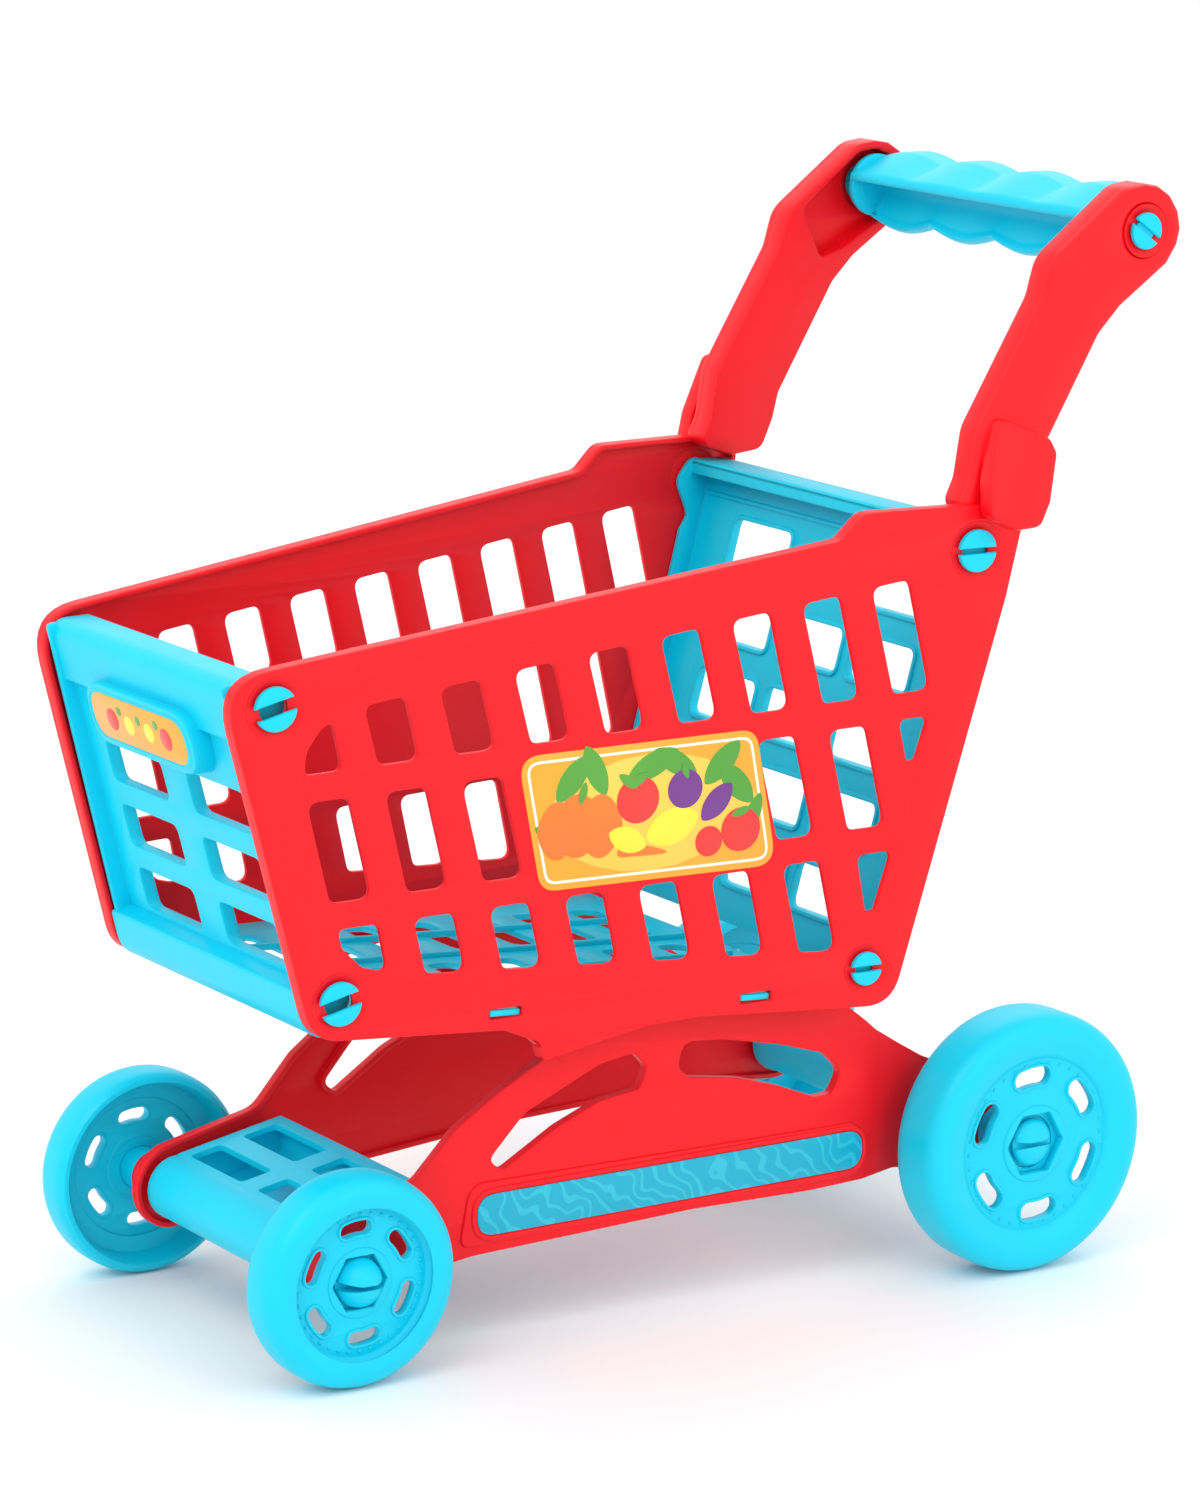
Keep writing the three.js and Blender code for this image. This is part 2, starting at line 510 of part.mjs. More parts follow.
// ---- assembly ----
const panel = sidePanel();
const frame = chassisFrame();
const inlay = frameInlay();
const sticker = tapered(alongX(inset(sideSticker, gap), -stickerThickness + 0.1, 0.1)
  .translate([basketHalf, 0, 0]));
const frontSticker = placeFront(alongY(inset(frontStickerCorners, gap), 0.1, 0.1 + stickerThickness));
const wheelFront = wheel(frontAxle, frontWheel, frontStub.radius);
const wheelRear = wheel(rearAxle, rearWheel, rearStub.radius);
const frontHalf = frameHalf - frameDepth - 1.6;
const rearHalf = frameHalf + taper * rearAxle.y - frameStep - frameDepth - 1;
const frontWindows = [[2.5, 15.5], [24.5, 38.5]]; // where each row of windows starts and ends

const trolley = new THREE.Group();
trolley.name = 'toy_trolley';
trolley.add(
  toMesh('side_panel_left', panel, red),
  toMesh('side_panel_right', mirrored(panel), red),
  toMesh('front_panel', frontPanel(), cyan),
  toMesh('rear_gate', rearGate(), cyan),
  toMesh('basket_floor', basketFloor(), cyan),
  toMesh('handle_grip', handleGrip(), cyan),
  toMesh('chassis_frame_left', frame, red),
  toMesh('chassis_frame_right', mirrored(frame), red),
  toMesh('frame_inlay_left', inlay, inlayBlue),
  toMesh('frame_inlay_right', mirrored(inlay), inlayBlue),
  toMesh('front_bracket', bracket(frontAxle, frontHalf, 44.5, 0.2, frontWindows), cyan),
  toMesh('rear_bracket', bracket(rearAxle, rearHalf, 9, 0, []), cyan),
  toMesh('front_axle', axleBar(frontAxle, frontWheel, frontStub.radius, frontStub.reach), cyan),
  toMesh('rear_axle', axleBar(rearAxle, rearWheel, rearStub.radius, rearStub.reach), cyan),
  toMesh('front_wheel_left', wheelFront, cyan),
  toMesh('front_wheel_right', mirrored(wheelFront), cyan),
  toMesh('rear_wheel_left', wheelRear, cyan),
  toMesh('rear_wheel_right', mirrored(wheelRear), cyan),
  toMesh('sticker_left', sticker, orange),
  toMesh('sticker_right', mirrored(sticker), orange),
  toMesh('sticker_front', frontSticker, orange),
);

const bounds = new THREE.Box3().setFromObject(trolley);
const centre = bounds.getCenter(new THREE.Vector3());
trolley.children.forEach((mesh) => mesh.geometry.translate(-centre.x, -centre.y, -bounds.min.z));

export default trolley;
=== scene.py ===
"""Visual model of a children's toy shopping trolley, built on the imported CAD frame."""

import json
import logging
import math
from collections.abc import Callable, Iterable
from dataclasses import dataclass, field
from enum import Enum

import bmesh
import bpy
import numpy as np
from mathutils import Matrix

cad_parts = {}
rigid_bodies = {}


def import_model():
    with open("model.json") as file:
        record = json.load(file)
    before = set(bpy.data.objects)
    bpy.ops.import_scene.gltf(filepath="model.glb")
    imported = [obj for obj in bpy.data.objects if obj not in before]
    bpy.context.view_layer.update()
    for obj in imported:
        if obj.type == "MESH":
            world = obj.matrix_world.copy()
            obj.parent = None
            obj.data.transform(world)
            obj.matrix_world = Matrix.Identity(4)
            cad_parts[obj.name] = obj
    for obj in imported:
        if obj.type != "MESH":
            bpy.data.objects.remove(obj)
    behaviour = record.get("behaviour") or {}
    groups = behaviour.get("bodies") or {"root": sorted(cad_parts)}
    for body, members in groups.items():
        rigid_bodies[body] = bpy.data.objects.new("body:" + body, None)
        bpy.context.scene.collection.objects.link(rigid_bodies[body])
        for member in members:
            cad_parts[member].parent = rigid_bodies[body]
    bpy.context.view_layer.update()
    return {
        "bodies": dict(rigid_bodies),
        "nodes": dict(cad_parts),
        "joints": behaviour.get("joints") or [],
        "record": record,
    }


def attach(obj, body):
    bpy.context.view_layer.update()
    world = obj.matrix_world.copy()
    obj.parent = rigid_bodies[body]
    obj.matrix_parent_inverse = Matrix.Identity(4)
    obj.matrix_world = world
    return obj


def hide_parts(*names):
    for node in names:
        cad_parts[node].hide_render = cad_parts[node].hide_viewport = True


LOG = logging.getLogger("trolley")
MM = 0.001
Corner = tuple[float, float, float]
Place = Callable[[np.ndarray], np.ndarray]


class Side(Enum):
    """Which side of the trolley a piece is on."""

    LEFT = 1
    RIGHT = -1

    @property
    def word(self) -> str:
        """The side's name in lower case."""
        return self.name.lower()


# ---------------------------------------------------------------- finishes


class NodeTree:
    """A small helper that adds and links shader nodes of one material."""

    def __init__(self, name: str) -> None:
        """Starts an empty material tree.

        Args:
            name: the material's name.
        """
        self.material = bpy.data.materials.new(name)
        self.material.use_nodes = True
        self.tree = self.material.node_tree
        self.shader = self.tree.nodes["Principled BSDF"]

    def add(self, kind: str, **values: object) -> bpy.types.Node:
        """Adds a node and sets its named inputs or properties.

        Args:
            kind: the node's type.
            values: property names, or input names with spaces as underscores.

        Returns:
            The new node.
        """
        node = self.tree.nodes.new(kind)
        for key, value in values.items():
            if hasattr(node, key):
                setattr(node, key, value)
            else:
                node.inputs[key.replace("_", " ")].default_value = value
        return node

    def link(self, source: bpy.types.NodeSocket, target: bpy.types.NodeSocket) -> None:
        """Links two sockets."""
        self.tree.links.new(source, target)

    def noise(self, scale: float, detail: float = 3.0) -> bpy.types.Node:
        """Returns a noise texture on object coordinates."""
        place = self.add("ShaderNodeTexCoord")
        node = self.add("ShaderNodeTexNoise", Scale=scale, Detail=detail)
        self.link(place.outputs["Object"], node.inputs["Vector"])
        return node

    def colour(self, factor: bpy.types.NodeSocket, low: tuple[float, ...], high: tuple[float, ...]) -> None:
        """Mixes two colours by a factor into the base colour.

        Args:
            factor: the factor's socket.
            low: the colour at 0.
            high: the colour at 1.
        """
        mix = self.add("ShaderNodeMix", data_type="RGBA")
        mix.inputs[6].default_value = (*low, 1)
        mix.inputs[7].default_value = (*high, 1)
        self.link(factor, mix.inputs[0])
        self.link(mix.outputs[2], self.shader.inputs["Base Color"])

    def ramp(self, source: bpy.types.NodeSocket, low: float, high: float) -> bpy.types.Node:
        """Maps 0..1 to low..high and returns the map node."""
        node = self.add("ShaderNodeMapRange")
        node.inputs["To Min"].default_value = low
        node.inputs["To Max"].default_value = high
        self.link(source, node.inputs["Value"])
        return node


@dataclass(frozen=True)
class Plastic:
    """Injection-moulded plastic with faint mottling, grain and soft edges."""

    name: str
    slot: str
    light: tuple[float, float, float]
    dark: tuple[float, float, float]
    roughness: float = 0.42
    grain: float = 0.12
    edge: float = 0.0005

    def build(self) -> bpy.types.Material:
        """Returns the material."""
        nodes = NodeTree(self.name)
        nodes.colour(nodes.noise(38.0).outputs["Fac"], self.dark, self.light)
        gloss = nodes.ramp(nodes.noise(160.0).outputs["Fac"], self.roughness - 0.06, self.roughness + 0.08)
        nodes.link(gloss.outputs["Result"], nodes.shader.inputs["Roughness"])
        rounding = nodes.add("ShaderNodeBevel", samples=4, Radius=self.edge)
        bump = nodes.add("ShaderNodeBump", Strength=self.grain, Distance=0.0002)
        nodes.link(nodes.noise(900.0, 2.0).outputs["Fac"], bump.inputs["Height"])
        nodes.link(rounding.outputs["Normal"], bump.inputs["Normal"])
        nodes.link(bump.outputs["Normal"], nodes.shader.inputs["Normal"])
        nodes.shader.inputs["Coat Weight"].default_value = 0.05
        nodes.shader.inputs["Coat Roughness"].default_value = 0.15
        nodes.shader.inputs["Specular IOR Level"].default_value = 0.3
        return nodes.material


@dataclass(frozen=True)
class PrintedInlay:
    """Plastic printed with lighter wandering lines."""

    name: str
    slot: str
    ground: tuple[float, float, float]
    line: tuple[float, float, float]

    def build(self) -> bpy.types.Material:
        """Returns the material."""
        nodes = NodeTree(self.name)
        place = nodes.add("ShaderNodeTexCoord")
        wave = nodes.add("ShaderNodeTexWave", wave_type="BANDS", bands_direction="DIAGONAL", Scale=70.0,
                         Distortion=14.0, Detail=1.0)
        nodes.link(place.outputs["Object"], wave.inputs["Vector"])
        edge = nodes.add("ShaderNodeMapRange")
        edge.inputs["From Min"].default_value = 0.72
        edge.inputs["From Max"].default_value = 0.86
        nodes.link(wave.outputs["Fac"], edge.inputs["Value"])
        nodes.colour(edge.outputs["Result"], self.ground, self.line)
        bump = nodes.add("ShaderNodeBump", Strength=0.25, Distance=0.0003)
        nodes.link(edge.outputs["Result"], bump.inputs["Height"])
        nodes.link(bump.outputs["Normal"], nodes.shader.inputs["Normal"])
        gloss = nodes.ramp(nodes.noise(90.0).outputs["Fac"], 0.36, 0.5)
        nodes.link(gloss.outputs["Result"], nodes.shader.inputs["Roughness"])
        return nodes.material


@dataclass(frozen=True)
class Film:
    """Printed sticker film: an even colour with a faint press grain and a clear coat."""

    name: str
    slot: str
    light: tuple[float, float, float]
    dark: tuple[float, float, float]

    def build(self) -> bpy.types.Material:
        """Returns the material."""
        nodes = NodeTree(self.name)
        nodes.colour(nodes.noise(22.0, 1.0).outputs["Fac"], self.dark, self.light)
        gloss = nodes.ramp(nodes.noise(300.0).outputs["Fac"], 0.28, 0.4)
        nodes.link(gloss.outputs["Result"], nodes.shader.inputs["Roughness"])
        nodes.shader.inputs["Coat Weight"].default_value = 0.3
        return nodes.material


RED = Plastic("red_plastic", "red_plastic", (0.95, 0.002, 0.010), (0.88, 0.001, 0.006))
BLUE = Plastic("blue_plastic", "blue_plastic", (0.0, 0.66, 0.86), (0.0, 0.60, 0.81))
INLAY = PrintedInlay("inlay_print", "inlay_plastic", (0.0, 0.42, 0.60), (0.02, 0.52, 0.68))
ORANGE_FILM = Film("orange_film", "sticker_film", (1.0, 0.42, 0.015), (0.96, 0.34, 0.008))
TOMATO_INK = Film("tomato_ink", "sticker_film", (0.86, 0.03, 0.02), (0.7, 0.015, 0.01))
LEAF_INK = Film("leaf_ink", "sticker_film", (0.10, 0.42, 0.03), (0.05, 0.27, 0.02))
CARROT_INK = Film("carrot_ink", "sticker_film", (1.0, 0.22, 0.01), (0.9, 0.15, 0.005))
LEMON_INK = Film("lemon_ink", "sticker_film", (1.0, 0.82, 0.05), (1.0, 0.72, 0.02))
CREAM_INK = Film("cream_ink", "sticker_film", (1.0, 0.93, 0.78), (0.98, 0.88, 0.7))
YELLOW_INK = Film("yellow_ink", "sticker_film", (1.0, 0.62, 0.08), (1.0, 0.54, 0.05))
PLUM_INK = Film("plum_ink", "sticker_film", (0.20, 0.03, 0.28), (0.12, 0.015, 0.2))


class Palette:
    """Builds each finish once and hands out its material."""

    def __init__(self) -> None:
        """Starts with no materials."""
        self.built: dict[str, bpy.types.Material] = {}

    def of(self, finish: object) -> bpy.types.Material:
        """Returns the finish's material.

        Args:
            finish: one of the finish dataclasses.
        """
        if finish.name not in self.built:
            self.built[finish.name] = finish.build()
        return self.built[finish.name]


PALETTE = Palette()


# ---------------------------------------------------------------- meshes


def rounded(corners: Iterable[Corner], steps: int = 5) -> np.ndarray:
    """A closed outline with rounded corners.

    Each corner is a quadratic curve from the point one trim before it to the point one trim after it.

    Args:
        corners: (u, v, radius) of each corner, counter-clockwise.
        steps: straight pieces in each rounding.

    Returns:
        The outline's points, n x 2.
    """
    corners = list(corners)
    points = []
    for index, (u, v, radius) in enumerate(corners):
        here = np.array([u, v])
        back = np.array(corners[index - 1][:2]) - here
        ahead = np.array(corners[(index + 1) % len(corners)][:2]) - here
        back_length, ahead_length = np.linalg.norm(back), np.linalg.norm(ahead)
        turn = math.acos(np.clip(back @ ahead / (back_length * ahead_length), -1, 1))
        trim = min(radius / math.tan(turn / 2), back_length * 0.49, ahead_length * 0.49)
        if trim < 0.02:
            points.append(here)
            continue
        start = here + back * trim / back_length
        end = here + ahead * trim / ahead_length
        for t in np.linspace(0, 1, steps + 1):
            points.append((1 - t) ** 2 * start + 2 * t * (1 - t) * here + t * t * end)
    return np.array(points)


def rounded_box(u0: float, u1: float, v0: float, v1: float, radius: float, steps: int = 5) -> np.ndarray:
    """A rectangle with rounded corners, counter-clockwise.

    Args:
        u0: its left edge.
        u1: its right edge.
        v0: its lower edge.
        v1: its upper edge.
        radius: the corners' radius.
        steps: straight pieces in each rounding.

    Returns:
        The outline's points, n x 2.
    """
    return rounded([(u0, v0, radius), (u1, v0, radius), (u1, v1, radius), (u0, v1, radius)], steps)


def ring(centre: tuple[float, float], radius: float, count: int = 40) -> np.ndarray:
    """The points of a circle, counter-clockwise."""
    angle = np.linspace(0, 2 * math.pi, count, endpoint=False)
    return np.stack([centre[0] + radius * np.cos(angle), centre[1] + radius * np.sin(angle)], 1)


def inset(outline: np.ndarray, distance: float) -> np.ndarray:
    """Moves each point of a counter-clockwise outline inward along the mean of its two edge normals."""
    before = outline - np.roll(outline, 1, 0)
    after = np.roll(outline, -1, 0) - outline
    normals = []
    for edge in (before, after):
        unit = edge / np.maximum(np.linalg.norm(edge, axis=1, keepdims=True), 1e-9)
        normals.append(np.stack([-unit[:, 1], unit[:, 0]], 1))
    middle = normals[0] + normals[1]
    middle /= np.maximum(np.linalg.norm(middle, axis=1, keepdims=True), 1e-9)
    reach = distance / np.maximum((middle * normals[0]).sum(1, keepdims=True), 0.5)
    return outline + middle * reach


@dataclass
class Shell:
    """Vertices in millimetres and faces, gathered from several surfaces."""

    points: list[np.ndarray] = field(default_factory=list)
    faces: list[tuple[int, ...]] = field(default_factory=list)
    count: int = 0

    def add(self, points: np.ndarray, faces: Iterable[Iterable[int]]) -> "Shell":
        """Adds a surface."""
        self.points.append(points)
        self.faces.extend(tuple(int(i) + self.count for i in face) for face in faces)
        self.count += len(points)
        return self

    def grid(self, points: np.ndarray, wrap: tuple[bool, bool], caps: bool = False) -> "Shell":
        """Adds a grid of points as quads.

        Args:
            points: rows x columns x 3.
            wrap: whether the rows and the columns close on themselves.
            caps: whether the first and last row are closed with a face each.
        """
        rows, columns = points.shape[:2]
        index = np.arange(rows * columns).reshape(rows, columns)
        below = np.roll(index, -1, 0) if wrap[0] else index[1:]
        base = index if wrap[0] else index[:-1]
        beside, under = np.roll(base, -1, 1), np.roll(below, -1, 1)
        quads = np.stack([base, beside, under, below], 2)
        if not wrap[1]:
            quads = quads[:, :-1]
        faces = [tuple(q) for q in quads.reshape(-1, 4)]
        if caps:
            faces += [tuple(index[0][::-1]), tuple(index[-1])]
        return self.add(points.reshape(-1, 3), faces)

    def plate(self, outline: np.ndarray, holes: Iterable[np.ndarray], low: float, high: float, soft: float,
              place: Place) -> "Shell":
        """Adds a flat plate with holes and softly rounded edges.

        Args:
            outline: the plate's edge, counter-clockwise, n x 2.
            holes: outlines of the holes.
            low: the lowest height of the plate above the drawing plane.
            high: the highest height.
            soft: how far the edges are rounded.
            place: maps (u, v, height) to the trolley's coordinates.
        """
        curve = bpy.data.curves.new("plate", "CURVE")
        curve.dimensions = "2D"
        curve.fill_mode = "BOTH"
        curve.bevel_mode = "ROUND"
        curve.bevel_resolution = 1
        curve.bevel_depth = soft
        curve.extrude = max((high - low) / 2 - soft, 0)
        loops = [inset(outline, soft)] + [inset(hole, -soft)[::-1] for hole in holes]
        for loop in loops:
            spline = curve.splines.new("POLY")
            spline.points.add(len(loop) - 1)
            flat = np.concatenate([loop, np.zeros((len(loop), 1)), np.ones((len(loop), 1))], 1)
            spline.points.foreach_set("co", flat.ravel())
            spline.use_cyclic_u = True
        carrier = bpy.data.objects.new("plate", curve)
        bpy.context.scene.collection.objects.link(carrier)
        mesh = bpy.data.meshes.new_from_object(carrier.evaluated_get(bpy.context.evaluated_depsgraph_get()))
        points = np.zeros(len(mesh.vertices) * 3)
        mesh.vertices.foreach_get("co", points)
        points = points.reshape(-1, 3)
        points[:, 2] += (low + high) / 2
        faces = [tuple(polygon.vertices) for polygon in mesh.polygons]
        bpy.data.objects.remove(carrier)
        bpy.data.curves.remove(curve)
        bpy.data.meshes.remove(mesh)
        return self.add(place(points), faces)

    def both_sides(self, other: "Shell") -> "Shell":
        """Adds another shell and its mirror image across the trolley's middle."""
        points = np.concatenate(other.points)
        for side in Side:
            self.add(points * np.array([side.value, 1, 1]), other.faces)
        return self

    def lathe(self, profile: Iterable[tuple[float, float]], centre: tuple[float, float],
              count: int = 96) -> "Shell":
        """Adds a closed profile of (radius, x) turned about an axis along x through (y, z)."""
        profile = np.array(list(profile), float)
        angle = np.linspace(0, 2 * math.pi, count, endpoint=False)[:, None]
        x = np.broadcast_to(profile[None, :, 1], (count, len(profile)))
        y = centre[0] + profile[None, :, 0] * np.cos(angle)
        z = centre[1] + profile[None, :, 0] * np.sin(angle)
        return self.grid(np.stack([x, y, z], 2), (True, True))

    def split_at(self, positions: Iterable[float]) -> "Shell":
        """Adds edges along planes of constant y, so that a later bend has points to follow."""
        mesh = bpy.data.meshes.new("split")
        mesh.from_pydata(np.concatenate(self.points).tolist(), [], self.faces)
        work = bmesh.new()
        work.from_mesh(mesh)
        for position in positions:
            geometry = work.verts[:] + work.edges[:] + work.faces[:]
            bmesh.ops.bisect_plane(work, geom=geometry, plane_co=(0, position, 0), plane_no=(0, 1, 0))
        work.verts.index_update()
        points = np.array([vertex.co[:] for vertex in work.verts])
        faces = [tuple(vertex.index for vertex in face.verts) for face in work.faces]
        work.free()
        bpy.data.meshes.remove(mesh)
        return Shell([points], faces, len(points))

    def moved(self, move: Place) -> "Shell":
        """Returns a copy with every point mapped."""
        return Shell([move(np.concatenate(self.points))], list(self.faces), self.count)

    def finish(self, name: str, finish: object, body: str, nodes: Iterable[str] = (), side: Side = Side.LEFT,
               sharp: float = 34.0) -> bpy.types.Object:
        """Makes the Blender object, in metres, with its material, and hangs it on a body.

        Args:
            name: the object's name.
            finish: the finish it wears.
            body: the CAD body that it rides on.
            nodes: the CAD nodes that it stands for.
            side: RIGHT mirrors the shell.
            sharp: edges steeper than this many degrees stay sharp.

        Returns:
            The object.
        """
        points = np.concatenate(self.points) * MM
        points[:, 1] -= SHIFT_Y * MM
        points[:, 0] *= side.value
        mesh = bpy.data.meshes.new(name)
        mesh.from_pydata(points.tolist(), [], self.faces)
        work = bmesh.new()
        work.from_mesh(mesh)
        bmesh.ops.remove_doubles(work, verts=work.verts, dist=1e-6)
        bmesh.ops.recalc_face_normals(work, faces=work.faces)
        work.to_mesh(mesh)
        work.free()
        mesh.shade_smooth()
        mesh.set_sharp_from_angle(angle=math.radians(sharp))
        mesh.materials.append(PALETTE.of(finish))
        piece = bpy.data.objects.new(name, mesh)
        bpy.context.scene.collection.objects.link(piece)
        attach(piece, body)
        if nodes:
            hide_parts(*nodes)
        LOG.info("%s: %d faces on %s", name, len(mesh.polygons), body)
        return piece


# ---------------------------------------------------------------- shared sizes, in millimetres

SHIFT_Y = 148.85
TAPER = 0.0732
BASKET_HALF = 72.8
FRAME_HALF = 54.4
WALL = 2.3
RIM = 6.5
FRONT_AXLE = (0.0, 38.3)
REAR_AXLE = (280.0, 49.4)
STEP_START = 222.0
STEP_LENGTH = 18.0
STEP_DEPTH = 5.0
FRONT_TOP_PIN = (-28.2, 241.3)
FRONT_LOW_PIN = (-3.5, 136.2)
REAR_TOP_PIN = (250.5, 273.5)
REAR_LOW_PIN = (208.1, 123.6)
GRIP_PIN = (325.4, 384.0)
FLOOR_LINE = (61.0, 125.0, -0.066)
FLOOR_TABS = (54.5, 155.8)
TAB_LENGTH = 12.9
FRONT_LINE = (-16.5, 133.9, -0.274)
PIN_LINE = (249.6, 273.9, 0.2754)


def on_panel(points: np.ndarray) -> np.ndarray:
    """Maps (y, z, height above the outer face) onto the tapered left side panel."""
    y, z, height = points.T
    return np.stack([BASKET_HALF + TAPER * y + height, y, z], 1)


def on_frame(points: np.ndarray) -> np.ndarray:
    """Maps (y, z, height) onto the left chassis frame, which steps inward toward its rear."""
    y, z, height = points.T
    step = np.clip((y - STEP_START) / STEP_LENGTH, 0, 1) * STEP_DEPTH
    return np.stack([FRAME_HALF + TAPER * y + height - step, y, z], 1)


def upright_x(points: np.ndarray) -> np.ndarray:
    """Maps (y, z, height) to x = height, for plates that stand along the trolley."""
    return points[:, [2, 0, 1]]


def leaning(line: tuple[float, float, float]) -> Place:
    """A place for plates drawn in (x, z) whose height is the depth behind a leaning line.

    Args:
        line: (y, z, lean) of the line.

    Returns:
        The mapping.
    """
    def place(points: np.ndarray) -> np.ndarray:
        """Puts the drawn points behind the line."""
        x, z, depth = points.T
        return np.stack([x, line[0] + line[2] * (z - line[1]) + depth, z], 1)
    return place


# ---------------------------------------------------------------- sub-assemblies


@dataclass
class SnapHead:
    """The split head of a snap stud, seen on the outer face."""

    y: float
    z: float
    radius: float
    wedge: float = 0.0
    turn: float = 0.0

    def onto(self, shell: Shell, place: Place, low: float, high: float) -> None:
        """Adds the two halves of the head.

        Each half is a disc segment whose straight side leans by the wedge angle.

        Args:
            shell: the shell that takes the head.
            place: the map onto the panel.
            low: height of the underside.
            high: height of the top.
        """
        for half in (0, math.pi):
            start = self.turn + half + math.asin(1.0 / self.radius) + self.wedge
            end = self.turn + half + math.pi - math.asin(1.0 / self.radius) - self.wedge
            angle = np.linspace(start, end, 22)
            arc = np.stack([self.y + self.radius * np.cos(angle), self.z + self.radius * np.sin(angle)], 1)
            shell.plate(arc, [], low, high, 0.55, place)


@dataclass
class SidePanel:
    """One red side wall of the basket with its handle arm."""

    side: Side
    corners: tuple[Corner, ...] = (
        (-13.7, 123.6, 15), (60.4, 118.8, 4), (75, 112.5, 4), (75.5, 105.5, 2.5), (98.4, 109.9, 10),
        (118.5, 113.4, 14), (139, 114, 14), (196.7, 109.8, 20), (219.8, 108.5, 14), (264, 256, 12),
        (270.5, 284, 8), (262, 290, 4), (203, 290.5, 8), (193.5, 281.4, 7), (-48.4, 252.2, 17))
    arm: tuple[Corner, ...] = (
        (315.5, 357, 10), (330, 366.8, 2), (336.4, 371.2, 0), (341, 378, 0), (342.4, 384, 0), (341, 390.5, 0),
        (337, 396.4, 0), (331.5, 399.9, 0), (325.4, 401, 0), (317, 400, 10), (284.5, 375.7, 14),
        (280.5, 361.5, 14), (253, 316, 14), (250.2, 298, 10), (245.4, 288, 6), (260, 283, 7), (274, 284.5, 6),
        (279, 296, 8), (281.5, 306, 8), (306, 347.5, 14))
    foot: tuple[Corner, ...] = (
        (261, 281, 4), (272, 281.5, 5), (277.5, 290, 5), (282.5, 307, 4), (280, 312.5, 4), (257.5, 321.5, 4),
        (250.8, 298, 6), (250, 286, 4))
    pocket: tuple[Corner, ...] = (
        (300, 357, 3), (311, 360.5, 5), (328, 370.5, 4), (338.5, 382, 7), (336, 393, 7), (326, 397.8, 6),
        (317.5, 397, 8), (291, 376.5, 4))
    arm_inner: float = 75.5
    arm_outer: float = 88.5
    flare: float = 0.2
    pins: tuple[tuple[float, float, float], ...] = (
        (*FRONT_TOP_PIN, 8), (*FRONT_LOW_PIN, 8), (*REAR_TOP_PIN, 8), (*REAR_LOW_PIN, 6.3))
    grip: tuple[float, float] = GRIP_PIN
    grip_hole: float = 7.1
    slot_pitch: float = 28.78
    slot_width: float = 15.6
    slot_lean: float = 0.245
    cut_slots: tuple[tuple[Corner, ...], ...] = (
        ((-17.2, 217.3, 2.5), (-2.9, 217.7, 3), (-6.8, 234.8, 2.5), (-11, 232.5, 6), (-16.2, 225.5, 8)),
        ((14.7, 145.1, 3), (10.9, 162.6, 3), (-4.5, 162.3, 2.5), (-2.4, 155.1, 6), (5.3, 147.7, 6)),
        ((223.2, 198.4, 2.2), (227, 198.8, 2.2), (232.2, 214.4, 3), (219.4, 214.2, 3)),
        ((207.4, 144.6, 2.2), (211.4, 144.8, 2.2), (218.2, 166.2, 3), (203.2, 166, 3)))

    def slot(self, column: int, top: float, rise: float, bottom: float, fall: float) -> np.ndarray:
        """One leaning basket slot.

        Its sides lean by slot_lean; its top and bottom edges are straight lines in y.

        Args:
            column: its column, from 1 at the front.
            top: height of the upper edge at y = 0.
            rise: slope of the upper edge.
            bottom: height of the lower edge at y = 0.
            fall: slope of the lower edge.

        Returns:
            The slot's outline.
        """
        first_y, first_z, rise_per_column, corner_radius = -22.96, 235.9, 3.425, 3.8
        along = self.slot_pitch * (column - 1)
        head = first_z + rise_per_column * (column - 1)
        width = self.slot_width
        corners = []
        ways = ((bottom, fall, 0), (bottom, fall, width), (top, rise, width), (top, rise, 0))
        for level, slope, shift in ways:
            z = level + slope * along
            y = first_y + along + self.slot_lean * (head - z) + shift
            corners.append((y, level + slope * y, corner_radius))
        return rounded(corners)

    def slots(self) -> list[np.ndarray]:
        """All slots: three rows of nine leaning columns, cut short near the bosses and the rear edge."""
        rows = [self.slot(column, 238.6, 0.119, 217.8, 0.027) for column in range(2, 10)]
        rows += [self.slot(column, 208, 0.026, 171.9, 0.018) for column in (1, 2, 3, 7, 8)]
        rows += [self.slot(column, 162.5, 0.018, 144.8, -0.068) for column in range(2, 8)]
        rows += [rounded(corners) for corners in self.cut_slots]
        return rows

    def build(self) -> bpy.types.Object:
        """Builds the panel and its arm."""
        shell = Shell()
        edge = rounded(self.corners, 8)
        holes = self.slots() + [ring((y, z), radius + 2.6) for y, z, radius in self.pins]
        y0, z0, fall = FLOOR_LINE
        for start in FLOOR_TABS:
            z = z0 + fall * (start + 6.4 - y0)
            holes.append(rounded_box(start, start + TAB_LENGTH, z - 1.75, z + 1.75, 0.8, 2))
        shell.plate(edge, holes, -WALL, 0, 0.6, on_panel)
        shell.plate(inset(edge, 0.03), [inset(edge, WALL)], -RIM, -0.6, 0.7, on_panel)
        for y, z, radius in self.pins:
            self.dish(shell, (y, z), radius, on_panel)
        bar = rounded(self.arm, 8)
        shell.plate(bar, [rounded(self.pocket, 6)], self.arm_inner, self.arm_outer - 3, 0.8, upright_x)
        mouth = ring(self.grip, self.grip_hole + 2.6)
        shell.plate(inset(bar, 0.02), [mouth], self.arm_outer - 6, self.arm_outer, 2.2, upright_x)

        def flared(points: np.ndarray) -> np.ndarray:
            """Moves the foot outward toward its lower end."""
            placed = upright_x(points)
            placed[:, 0] += self.flare * (320 - placed[:, 2])
            return placed
        shell.plate(rounded(self.foot, 6), [], self.arm_outer - 3, self.arm_outer + 5, 1.8, flared)

